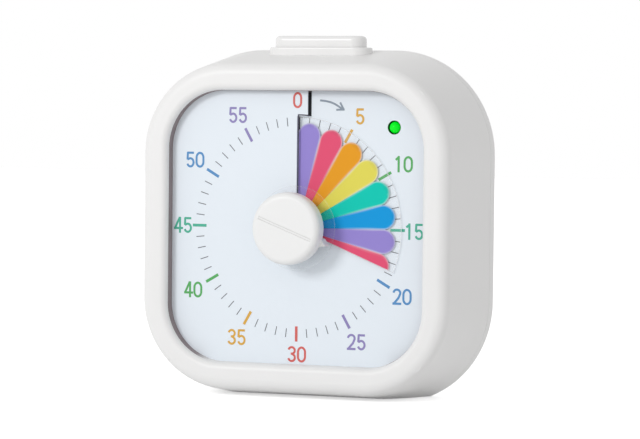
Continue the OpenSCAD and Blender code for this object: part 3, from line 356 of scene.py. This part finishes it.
# one block mark is repeated round the circle; Skip leaves out every fifth place
marks, mn, ml, m_in, m_out = node_tree(
    "marks", [("Count", "NodeSocketInt", 60), ("First", "NodeSocketInt", 0), ("Stride", "NodeSocketInt", 1),
              ("Skip", "NodeSocketInt", 0), ("Ink", "NodeSocketMaterial", None)])
minute_turn = math.radians(6)
index = mn.new("GeometryNodeInputIndex")
minute = sums(mn, ml, "MULTIPLY_ADD", index.outputs[0], m_in.outputs["Stride"], m_in.outputs["First"])
fifth = sums(mn, ml, "LESS_THAN", sums(mn, ml, "FLOORED_MODULO", minute, 5), 0.5)
kept = mn.new("GeometryNodeDeleteGeometry")
kept.domain = "INSTANCE"
ml.new(sums(mn, ml, "MULTIPLY", fifth, m_in.outputs["Skip"]), kept.inputs["Selection"])
copies = turned_copies(mn, ml, m_in, sums(mn, ml, "MULTIPLY", minute, minute_turn))
ml.new(copies, kept.inputs["Geometry"])
wind_and_ink(mn, ml, kept.outputs[0], m_in, m_out,
             {"Base": ink_lift, "Slit inside": slit_inside, "Slit outside": slit_outside})


def bar(name, inner, outer, width, made):
    rows = 4
    radii = [inner + (outer - inner) * j / rows for j in range(rows + 1)]
    points = [(side * width / 2, 0, r) for r in radii for side in (-1, 1)]
    return flat_piece(name, points, rungs(rows), made)


ink_colours = {
    "grey": (0.07, 0.075, 0.09),
    "slate": (0.22, 0.27, 0.33),
    "red": (0.62, 0.105, 0.09),
    "orange": (0.66, 0.36, 0.04),
    "green": (0.07, 0.37, 0.09),
    "teal": (0.05, 0.40, 0.27),
    "blue": (0.07, 0.25, 0.52),
    "purple": (0.25, 0.21, 0.46)}
ink = {key: grained("ink_" + key, colour, fleck=0.06, fine=9000, cloud=400, low=0.4, high=0.5, bump=0.000004)
       for key, colour in ink_colours.items()}
minor = run_tree(bar("minute_marks", inner=0.0313, outer=0.0340, width=0.00024, made=ink["grey"]), marks,
                 Count=60, Skip=1, Ink=ink["grey"])
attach(minor, "case")

# a colour comes round again after half an hour, but at 0 the slit takes the place of a mark
for k, key in enumerate(["red", "orange", "green", "teal", "blue", "purple"]):
    first, count = (5 * k, 2) if k else (30, 1)
    mark = bar("five_marks_" + key, inner=0.0304, outer=0.0351, width=0.00088, made=ink[key])
    major = run_tree(mark, marks, Count=count, First=first, Stride=30, Ink=ink[key])
    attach(major, "case")


# numerals are drawn as strokes of a ruling pen: each a path given a constant width, in
# millimetres; this one runs round part of an ellipse, from one angle to another
def sweep(cx, cz, rx, rz, a0, a1):
    steps = 14
    angles = [math.radians(a0 + (a1 - a0) * i / steps) for i in range(steps + 1)]
    return [(cx + rx * math.cos(a), cz + rz * math.sin(a)) for a in angles]


pen, half_h, half_w = 0.69, 2.14, 1.08
round_w, round_h = 1.17, 1.5
digits = {
    "0": [sweep(0, half_h - round_h, round_w, round_h, 0, 180)
          + sweep(0, round_h - half_h, round_w, round_h, 180, 360) + [(round_w, half_h - round_h)]],
    "1": [[(0.17, -half_h - pen / 2), (0.17, half_h + pen / 2)],
          [(0.3, half_h + 0.02), (-0.8, half_h - 0.85)]],
    "2": [sweep(0, 1.1, half_w, half_h - 1.1, 175, -28) + [(0.5, -0.42), (-half_w + 0.08, -half_h)],
          [(-half_w - pen / 2, -half_h), (half_w + pen / 2, -half_h)]],
    "3": [sweep(0, 1.13, half_w - 0.06, half_h - 1.13, 168, -78) + [(-0.3, 0.13)],
          sweep(0, -1.06, half_w, half_h - 1.06, 82, -168)],
    "4": [[(0.5, half_h + pen / 3), (-1.05, -1.0)],
          [(-1.4, -1.0), (1.65, -1.0)],
          [(0.62, half_h + pen / 2), (0.62, -half_h - pen / 2)]],
    "5": [[(half_w + 0.1, half_h), (-half_w + 0.02, half_h)],
          [(-half_w + 0.22, half_h + 0.2), (-half_w + 0.1, 0.0)],
          [(-half_w + 0.1, 0.12)] + sweep(0, -0.86, half_w, half_h - 0.86, 128, -160)]}


# lays a pen stroke of even width along a path, closed where the path ends where it began
def stroke(points, faces, path, width, dx=0, lift=0):
    closed = path[0] == path[-1]
    base = len(points)
    for i, (px, pz) in enumerate(path):
        before = path[i - 1] if i else path[-2 if closed else 0]
        after = path[i + 1] if i + 1 < len(path) else path[1 if closed else i]
        tx, tz = after[0] - before[0], after[1] - before[1]
        long = math.hypot(tx, tz)
        nx, nz = -tz / long * width / 2, tx / long * width / 2
        points.append(((px + nx + dx) / 1000, lift, (pz + nz) / 1000))
        points.append(((px - nx + dx) / 1000, lift, (pz - nz) / 1000))
    faces += rungs(len(path) - 1, base)


laid, ln, ll, l_in, l_out = node_tree(
    "laid_ink", [("Ink", "NodeSocketMaterial", None), ("Slit inside", "NodeSocketFloat", slit_inside)])
wind_and_ink(ln, ll, l_in.outputs["Geometry"], l_in, l_out,
             {"Base": ink_lift, "Slit inside": l_in.outputs["Slit inside"], "Slit outside": slit_outside})

# each numeral, its ink, and the middle of its box in millimetres from the dial's axis
numerals = [("0", "red", -0.12, 39.24), ("5", "orange", 20.10, 34.45), ("10", "green", 34.50, 20.11),
            ("15", "teal", 38.20, -0.30), ("20", "blue", 34.48, -20.16), ("25", "purple", 19.79, -34.51),
            ("30", "red", 0.24, -39.02), ("35", "orange", -19.95, -34.45), ("40", "green", -34.80, -20.10),
            ("45", "teal", -38.44, -0.02), ("50", "blue", -34.35, 20.40), ("55", "purple", -20.00, 34.46)]
advance = 3.27
overlap = 0.000004
for label, key, cx, cz in numerals:
    points, faces = [], []
    for i, digit in enumerate(label):
        for k, path in enumerate(digits[digit]):
            stroke(points, faces, path, pen, dx=i * advance, lift=-overlap * k)
    left, right = min(p[0] for p in points), max(p[0] for p in points)
    low, high = min(p[2] for p in points), max(p[2] for p in points)
    dx, dz = cx / 1000 - (left + right) / 2, cz / 1000 - (low + high) / 2
    points = [(px + dx, py, pz + dz) for px, py, pz in points]
    number = run_tree(flat_piece("numeral_" + label, points, faces, ink[key]), laid, Ink=ink[key])
    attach(number, "case")

# an arrow curves round from the zero to show which way the knob winds
points, faces = [], []
arrow_pen = 0.6
shaft = [(6.82, 39.22), (8.63, 39.05), (10.19, 38.73), (11.61, 38.22), (12.86, 37.5), (14.6, 36.45)]
barbs = [[(13.47, 38.67), (14.71, 36.39)], [(14.95, 36.5), (12.22, 36.39)]]
for k, path in enumerate([shaft, *barbs]):
    stroke(points, faces, path, arrow_pen, lift=-overlap * k)
arrow = run_tree(flat_piece("turn_arrow", points, faces, ink["slate"]), laid, Ink=ink["slate"])
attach(arrow, "case")

# a dark strip is painted down the slit, from just clear of the card's hole up to the step, and along the
# step, as the shadow in the gap under the card's cut edge; its turn is counted from past the strip, so all
# of it lies on the card's raised side
points, faces = [], []
cut_x, cut_foot, cut_top, cut_width = 0.24, 9.4, slit_step * 1000 + 0.22, 0.46
step_length, step_width, past_strip = 3.68, 0.4, 0.0006
down_slit = [(cut_x, cut_foot + (cut_top - cut_foot) * i / 8) for i in range(9)]
stroke(points, faces, down_slit, cut_width)
step_xs = [cut_x - cut_width / 2 + step_length * i / 6 for i in range(7)]
stroke(points, faces, [(px, math.sqrt(cut_top ** 2 - px ** 2)) for px in step_xs], step_width, lift=-overlap)
shade = grained("slit_shadow", (0.042, 0.038, 0.066), fleck=0.1, low=0.6, high=0.7)
cut = run_tree(flat_piece("slit_painted_shadow", points, faces, shade), laid,
               **{"Ink": shade, "Slit inside": past_strip})
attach(cut, "case")

# ---------------------------------------------------------------- film disc
# A disc of clear film slit along one radius and printed with petals in six colours. It
# turns with the knob and feeds through the card's slit, so the petals shown are the time left.
lead_degrees = 112.2
lead = math.radians(lead_degrees)
film_r, film_thick, print_lift = 0.0342, 0.0002, 0.00002
# the print's height over the card's face at its low end: at 0 minutes the film's middle
# starts half a rise behind the card's, it comes forward as it turns, and the print is in front
film_front = -card_thick / 2 - rise / 2 + rise * lead_degrees / 360 + film_thick / 2 + print_lift


# a clear sheet round the dial's axis shows at its rim, where its opacity climbs
def rimmed(made, radius, rim_width, inside, at_rim):
    nodes, links = wiring(made)
    away = measured(made, "Away", dial_centre)
    opacity = ramp(made, away, radius - rim_width, radius - 0.0001, inside, at_rim)
    links.new(opacity, nodes["Principled BSDF"].inputs["Alpha"])


clear_film = grained("clear_film", (0.86, 0.875, 0.89), fleck=0.02, fine=6000, cloud=300, low=0.1, high=0.2,
                     bump=0.000003)
rimmed(clear_film, film_r, rim_width=0.0004, inside=0.025, at_rim=0.45)
dress(clear_film, "color_disc")

petal_colours = [(0.76, 0.086, 0.178), (0.305, 0.24, 0.63), (0.003, 0.315, 0.715), (0.0, 0.575, 0.455),
                 (0.75, 0.68, 0.102), (0.79, 0.332, 0.014)]
# a petal's ink pales along its edge, stored on its mesh as "solid", and thins towards its
# tip, where the minute marks show through it
petal_inks = []
for i, colour in enumerate(petal_colours):
    made = grained("petal_ink_%d" % i, colour, fleck=0.04, fine=9000, cloud=120, low=0.35, high=0.45,
                   bump=0.000003)
    nodes, links = wiring(made)
    bsdf = nodes["Principled BSDF"]
    away = measured(made, "Away", dial_centre)
    inset = nodes.new("ShaderNodeAttribute")
    inset.attribute_name = "solid"
    by_the_edge = ramp(made, inset.outputs["Fac"], low=0.0, high=1.0, at_low=0.5, at_high=0.0)
    pale = sums(nodes, links, "MULTIPLY", by_the_edge, ramp(made, away, low=0.013, high=0.024))
    over(made, pale, (0.86, 0.88, 0.9))
    links.new(ramp(made, away, low=0.0308, high=0.0324, at_low=1.0, at_high=0.82), bsdf.inputs["Alpha"])
    bsdf.inputs["Specular IOR Level"].default_value = 0.12
    petal_inks.append(made)

petals, pn, pl, p_in, p_out = node_tree(
    "petals", [("Count", "NodeSocketInt", 4), ("First", "NodeSocketFloat", 0.0),
               ("Step", "NodeSocketFloat", 0.0), ("Base", "NodeSocketFloat", 0.0),
               ("Start", "NodeSocketFloat", 0.0), ("Ink", "NodeSocketMaterial", None)])
index = pn.new("GeometryNodeInputIndex")
angle = sums(pn, pl, "MULTIPLY_ADD", index.outputs[0], p_in.outputs["Step"], p_in.outputs["First"])
wind_and_ink(pn, pl, turned_copies(pn, pl, p_in, angle), p_in, p_out,
             {"Base": p_in.outputs["Base"], "Start": p_in.outputs["Start"],
              "Slit inside": slit_inside, "Slit outside": slit_inside})
petal_turn = math.radians(15)


# one petal: a wedge with a round tip, given in millimetres as rows across it from the hub
# outwards; a petal on the film's cut is only the side before it (-1) or after it (+1)
def petal(name, made, side=0):
    inner, neck, gap, fade = 8.6, 28.7, 0.04, 0.5
    before_cut, after_cut = 0.1, 0.6
    shoulder = neck * (petal_turn / 2) - gap / 2
    rows = [inner + (neck - inner) * i / 14 for i in range(15)]
    rows += [neck + shoulder * math.sin(math.radians(90 * i / 12)) for i in range(1, 13)]
    shares = (0, 0.035, 0.07, 0.12, 0.3, 0.5, 0.7, 0.88, 0.93, 0.965, 1)
    points, solid = [], []
    for r in rows:
        half = petal_turn / 2 - gap / 2 / r
        if r > neck:
            half = math.sqrt(max(0.0, shoulder ** 2 - (r - neck) ** 2)) / r
        lo = max(-half, after_cut / r) if side > 0 else -half
        hi = min(half, before_cut / r) if side < 0 else half
        for share in shares:
            a = lo + (max(hi, lo) - lo) * share
            points.append((r * math.sin(a) / 1000, 0, r * math.cos(a) / 1000))
            inset = (half - abs(a)) * r if r <= neck else shoulder - math.hypot(r - neck, a * r)
            solid.append(min(1.0, max(0.0, inset / fade)))
    wide = len(shares)
    faces = [(wide * i + j, wide * i + j + 1, wide * (i + 1) + j + 1, wide * (i + 1) + j)
             for i in range(len(rows) - 1) for j in range(wide - 1)]
    piece = flat_piece(name, points, faces, made)
    piece.data.attributes.new("solid", "FLOAT", "POINT").data.foreach_set("value", solid)
    return piece


# every colour comes four times round the film; the cut splits the first colour's fourth petal
prints = [("petal_lead", petal_inks[0], -1, 1, lead), ("petal_tail", petal_inks[0], 1, 1, lead),
          ("petals_0", petal_inks[0], 0, 3, lead - 6 * petal_turn)]
prints += [("petals_%d" % k, petal_inks[k], 0, 4, lead - k * petal_turn) for k in range(1, 6)]
for name, made, side, count, first in prints:
    printed = run_tree(petal(name, made, side), petals, Count=count, First=first, Step=-6 * petal_turn,
                       Base=film_front, Start=lead, Ink=made)
    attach(printed, "disc")

# the film's cut edge catches the light as a thin pale line
edge_foot, edge_length, edge_rows, half_edge = 9, 25.1, 12, 0.12
points = [(side * half_edge / 1000, 0, (edge_foot + edge_length * i / edge_rows) / 1000)
          for i in range(edge_rows + 1) for side in (-1, 1)]
pale_edge = grained("film_cut_edge", (0.8, 0.83, 0.86), fleck=0.05, low=0.2, high=0.3, clear=0.75)
line = run_tree(flat_piece("film_lead_edge", points, rungs(edge_rows), pale_edge), petals, Count=1,
                First=lead, Step=0.0, Base=film_front + print_lift / 2, Start=lead, Ink=pale_edge)
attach(line, "disc")

# ---------------------------------------------------------------- knob and spindle
# A round grip in satin white ABS, with a flat pointer over the film's leading edge, pressed
# on a steel spindle that runs in a brass bush. A clear washer sits in front of the film.
knob_white = grained("knob_white", (0.83, 0.83, 0.825), fleck=0.02, fine=3500, low=0.36, high=0.45)
dress(knob_white, "knob")
lo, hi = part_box("disc_washer")
clear_washer = grained("clear_washer", (0.93, 0.94, 0.95), fleck=0.02, low=0.05, high=0.1, bump=0.000002)
rimmed(clear_washer, (hi[0] - lo[0]) / 2, rim_width=0.0003, inside=0.015, at_rim=0.09)
dress(clear_washer, "disc_washer")

# even stripes over a length, such as laminations, turns of wire or lathe marks
stripes, gn, gl, g_in, g_out = new_group(
    "ShaderNodeTree", "stripes",
    [("Length", "NodeSocketFloat", 0.0), ("Pitch", "NodeSocketFloat", 0.001),
     ("Share", "NodeSocketFloat", 0.3)],
    [("Mask", "NodeSocketFloat"), ("Height", "NodeSocketFloat")])
half_pitch = sums(gn, gl, "MULTIPLY", g_in.outputs["Pitch"], 0.5)
swing = sums(gn, gl, "DIVIDE", sums(gn, gl, "PINGPONG", g_in.outputs["Length"], half_pitch), half_pitch)
edge = gn.new("ShaderNodeMapRange")
gl.new(swing, edge.inputs["Value"])
gl.new(g_in.outputs["Share"], edge.inputs["From Min"])
gl.new(sums(gn, gl, "MULTIPLY", g_in.outputs["Share"], 0.5), edge.inputs["From Max"])
gl.new(edge.outputs[0], g_out.inputs["Mask"])
gl.new(swing, g_out.inputs["Height"])


# grooves between stripes along an axis: a darker tone in them, and relief between them
def striped(made, origin, pitch, share, colour, depth, axis=(0, 1, 0)):
    nodes, links = wiring(made)
    bsdf = nodes["Principled BSDF"]
    repeat = nodes.new("ShaderNodeGroup")
    repeat.node_tree = stripes
    repeat.inputs["Pitch"].default_value = pitch
    repeat.inputs["Share"].default_value = share
    links.new(measured(made, "Along", origin, axis), repeat.inputs["Length"])
    over(made, repeat.outputs["Mask"], colour)
    ridges = nodes.new("ShaderNodeBump")
    ridges.inputs["Distance"].default_value = depth
    links.new(repeat.outputs["Height"], ridges.inputs["Height"])
    links.new(bsdf.inputs["Normal"].links[0].from_socket, ridges.inputs["Normal"])
    links.new(ridges.outputs["Normal"], bsdf.inputs["Normal"])


turned_steel = grained("turned_steel", (0.62, 0.62, 0.63), fleck=0.08, cloud=400, low=0.2, high=0.3,
                       metal=1.0)
striped(turned_steel, dial_centre, pitch=0.00025, share=0.25, colour=(0.42, 0.42, 0.43), depth=0.00001)
dress(turned_steel, "spindle")
dress(zinc, "spindle_clip")
turned_brass = grained("turned_brass", (0.78, 0.55, 0.24), fleck=0.12, cloud=300, low=0.2, high=0.35,
                       metal=1.0)
striped(turned_brass, dial_centre, pitch=0.0003, share=0.25, colour=(0.6, 0.4, 0.16), depth=0.00001)
dress(turned_brass, "spindle_bush")
bronze = grained("bronze_strip", (0.72, 0.42, 0.22), fleck=0.12, cloud=300, low=0.2, high=0.3, metal=1.0)
dress(bronze, "clutch_spring")

# ---------------------------------------------------------------- movement
# Moulded acetal wheels between a chassis plate and a bridge, driven by the rotor of a
# small stepping motor with a laminated stator and a wound coil.
dark_abs = grained("dark_grey_abs", (0.06, 0.063, 0.073), fleck=0.12, fine=3500, low=0.4, high=0.5)
dress(dark_abs, "chassis", "bridge")
acetal = grained("natural_acetal", (0.83, 0.8, 0.7), fleck=0.04, low=0.3, high=0.45)
dress(acetal, "centre_wheel", "third_wheel", "fourth_wheel")
dress(black_nylon, "rotor", "coil_bobbin")
ferrite = grained("sintered_ferrite", (0.055, 0.055, 0.06), fleck=0.35, fine=8000, cloud=900,
                  low=0.45, high=0.65)
dress(ferrite, "rotor_magnet")
laminated = grained("laminated_iron", (0.34, 0.35, 0.37), fleck=0.2, cloud=400, low=0.3, high=0.5, metal=1.0)
striped(laminated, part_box("stator")[0], pitch=0.0003, share=0.3, colour=(0.12, 0.11, 0.11), depth=0.00003)
dress(laminated, "stator")
wound_copper = grained("enamelled_winding", (0.58, 0.2, 0.07), fleck=0.12, cloud=800, low=0.2, high=0.32,
                       metal=0.7)
striped(wound_copper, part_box("motor_coil")[0], pitch=0.00022, share=0.35, colour=(0.25, 0.07, 0.025),
        depth=0.00006, axis=(0, 0, 1))
dress(wound_copper, "motor_coil")
enamelled = grained("enamelled_wire", (0.5, 0.14, 0.05), fleck=0.1, low=0.15, high=0.25, metal=0.6)
dress(enamelled, "motor_leads")
dress(zinc, "chassis_screws", "bridge_screws", "board_screws")

# ---------------------------------------------------------------- board and lamp
# A green board with the chip under a drop of black resin and its few parts soldered
# round it; the lamp shines through the hole in the card.
solder_mask = grained("solder_mask", (0.015, 0.17, 0.065), fleck=0.15, cloud=200, low=0.2, high=0.3)
nodes, links = wiring(solder_mask)
tracks = nodes.new("ShaderNodeTexBrick")
tracks.inputs["Scale"].default_value = 60
tracks.inputs["Mortar Size"].default_value = 0.02
place = nodes.new("ShaderNodeTexCoord")
upright_plane = nodes.new("ShaderNodeMapping")
upright_plane.inputs["Rotation"].default_value = (math.radians(90), 0, 0)
links.new(place.outputs["Object"], upright_plane.inputs["Vector"])
links.new(upright_plane.outputs[0], tracks.inputs["Vector"])
over(solder_mask, tracks.outputs["Fac"], (0.05, 0.32, 0.13))
dress(solder_mask, "circuit_board")
resin = grained("black_resin", (0.015, 0.015, 0.015), fleck=0.2, low=0.1, high=0.25)
dress(resin, "chip_drop")
dress(nickel, "crystal", "slide_switch")
dress(black_nylon, "buzzer", "sound_slider")

# chip resistors: black glass on top, tinned at both ends of their length
lo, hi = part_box("chip_resistors")
resistor = grained("chip_resistor", (0.02, 0.02, 0.022), fleck=0.2, low=0.25, high=0.35)
nodes, links = wiring(resistor)
lengthways = measured(resistor, "Along", (0, 0, (lo[2] + hi[2]) / 2), (0, 0, 1))
from_middle = sums(nodes, links, "ABSOLUTE", lengthways)
over(resistor, ramp(resistor, from_middle, low=0.0006, high=0.00065), (0.7, 0.7, 0.72), metal=True)
dress(resistor, "chip_resistors")

# capacitor: a printed sleeve with the minus stripe down one side, open over its aluminium end
lo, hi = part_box("capacitor")
end_centre = ((lo[0] + hi[0]) / 2, hi[1], (lo[2] + hi[2]) / 2)
sleeve = grained("capacitor_sleeve", (0.02, 0.035, 0.12), fleck=0.08, low=0.18, high=0.28)
nodes, links = wiring(sleeve)
sideways = measured(sleeve, "Along", end_centre, (1, 0, 0))
over(sleeve, ramp(sleeve, sideways, low=-0.0019, high=-0.0020), (0.6, 0.62, 0.66))
inside_lip = ramp(sleeve, measured(sleeve, "Away", end_centre), low=0.0021, high=0.0020)
at_end = ramp(sleeve, measured(sleeve, "Along", end_centre), low=-0.0002, high=-0.0001)
over(sleeve, sums(nodes, links, "MULTIPLY", inside_lip, at_end), (0.75, 0.75, 0.77), metal=True)
dress(sleeve, "capacitor")

# lamp: green-tinted epoxy, glowing bright over its chip and dimmer round the rim of its dome, where a deep
# green is also painted as the shade of the hole it sits in
lamp_aside = 0.0312
lamp = grained("lit_lamp", (0.0, 0.62, 0.015), fleck=0.03, low=0.08, high=0.12, depth=0.05)
nodes, links = wiring(lamp)
bsdf = nodes["Principled BSDF"]
from_lamp = measured(lamp, "Away", (lamp_aside, 0, dial_z + lamp_aside))
dim_and_shaded_rim = ramp(lamp, from_lamp, low=0.00155, high=0.00195)
over(lamp, dim_and_shaded_rim, (0.0, 0.2, 0.01))
lit = nodes.new("ShaderNodeMix")
lit.data_type = "RGBA"
lit.inputs[6].default_value = (0.0, 0.8, 0.012, 1)
lit.inputs[7].default_value = (0.0, 0.02, 0.0, 1)
links.new(dim_and_shaded_rim, lit.inputs[0])
links.new(lit.outputs[2], bsdf.inputs["Emission Color"])
bsdf.inputs["Emission Strength"].default_value = 0.42
bsdf.inputs["Specular IOR Level"].default_value = 0.12
dress(lamp, "indicator_lamp")

# ---------------------------------------------------------------- cells and contacts
# Two AAA cells lie head to tail in the bay behind the door, between plates and coils of
# nickelled steel, with sleeved wires up to the board.
lo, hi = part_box("cells")
cell_sleeve = grained("cell_sleeve", (0.06, 0.1, 0.24), fleck=0.06, low=0.2, high=0.3)
nodes, links = wiring(cell_sleeve)
# the sleeve turns silver towards the nub, which is at -x on the upper cell, +x on the lower
upper = measured(cell_sleeve, "Along", (0, 0, (lo[2] + hi[2]) / 2), (0, 0, 1))
towards_x = measured(cell_sleeve, "Along", axis=(1, 0, 0))
heading = ramp(cell_sleeve, upper, low=-0.0001, high=0.0001, at_low=1.0, at_high=-1.0)
towards_nub = sums(nodes, links, "MULTIPLY", towards_x, heading)
over(cell_sleeve, ramp(cell_sleeve, towards_nub, low=0.0105, high=0.0106), (0.72, 0.73, 0.76), metal=True)
dress(cell_sleeve, "cells")
dress(nickel, "cell_caps", "positive_plates", "negative_springs")
red_sleeve = grained("red_wire_sleeve", (0.5, 0.03, 0.025), fleck=0.05, low=0.3, high=0.4)
dress(red_sleeve, "cell_leads")


# ---------------------------------------------------------------- stage
# A pale floor, an even white room and one soft lamp high in front on the left. The floor
# and the room show white to the eye and in reflections; the shadow stays.
def seen_directly(nodes, links):
    rays = nodes.new("ShaderNodeLightPath")
    either = sums(nodes, links, "MAXIMUM", rays.outputs["Is Camera Ray"], rays.outputs["Is Glossy Ray"])
    return sums(nodes, links, "MAXIMUM", either, rays.outputs["Is Transmission Ray"])


# one shader lights the timer and the other is the one seen
def lit_by_and_seen_as(nodes, links, lighting, seen, out):
    mix = nodes.new("ShaderNodeMixShader")
    links.new(seen_directly(nodes, links), mix.inputs[0])
    links.new(lighting.outputs[0], mix.inputs[1])
    links.new(seen.outputs[0], mix.inputs[2])
    links.new(mix.outputs[0], out.inputs["Surface"])


white = (1, 1, 1, 1)
pale_floor = bpy.data.materials.new("pale_floor")
pale_floor.use_nodes = True
nodes, links = wiring(pale_floor)
bsdf = nodes["Principled BSDF"]
bsdf.inputs["Base Color"].default_value = (0.9, 0.9, 0.9, 1)
bsdf.inputs["Roughness"].default_value = 0.7
glow = nodes.new("ShaderNodeEmission")
glow.inputs["Color"].default_value = white
glow.inputs["Strength"].default_value = 0.55
lifted = nodes.new("ShaderNodeAddShader")
links.new(bsdf.outputs[0], lifted.inputs[0])
links.new(glow.outputs[0], lifted.inputs[1])
lit_by_and_seen_as(nodes, links, bsdf, lifted, nodes["Material Output"])
bpy.ops.mesh.primitive_plane_add(size=6, location=(0, 0, 0))
floor = bpy.context.object
floor.name = "floor"
floor.data.materials.append(pale_floor)

world = bpy.data.worlds.new("studio")
bpy.context.scene.world = world
world.use_nodes = True
nodes, links = wiring(world)
soft, bright = nodes["Background"], nodes.new("ShaderNodeBackground")
for room, strength in ((soft, 0.668), (bright, 1.0)):
    room.inputs["Color"].default_value = white
    room.inputs["Strength"].default_value = strength
lit_by_and_seen_as(nodes, links, soft, bright, nodes["World Output"])

soft_box = bpy.data.lights.new("key", "AREA")
soft_box.size = 0.30
soft_box.energy = 4.4
key_lamp = bpy.data.objects.new("key", soft_box)
key_lamp.location = (-0.47, -1.0, 0.45)
aim = Vector((0, 0, 0.05)) - key_lamp.location
key_lamp.rotation_euler = aim.to_track_quat("-Z", "Y").to_euler()
bpy.context.scene.collection.objects.link(key_lamp)
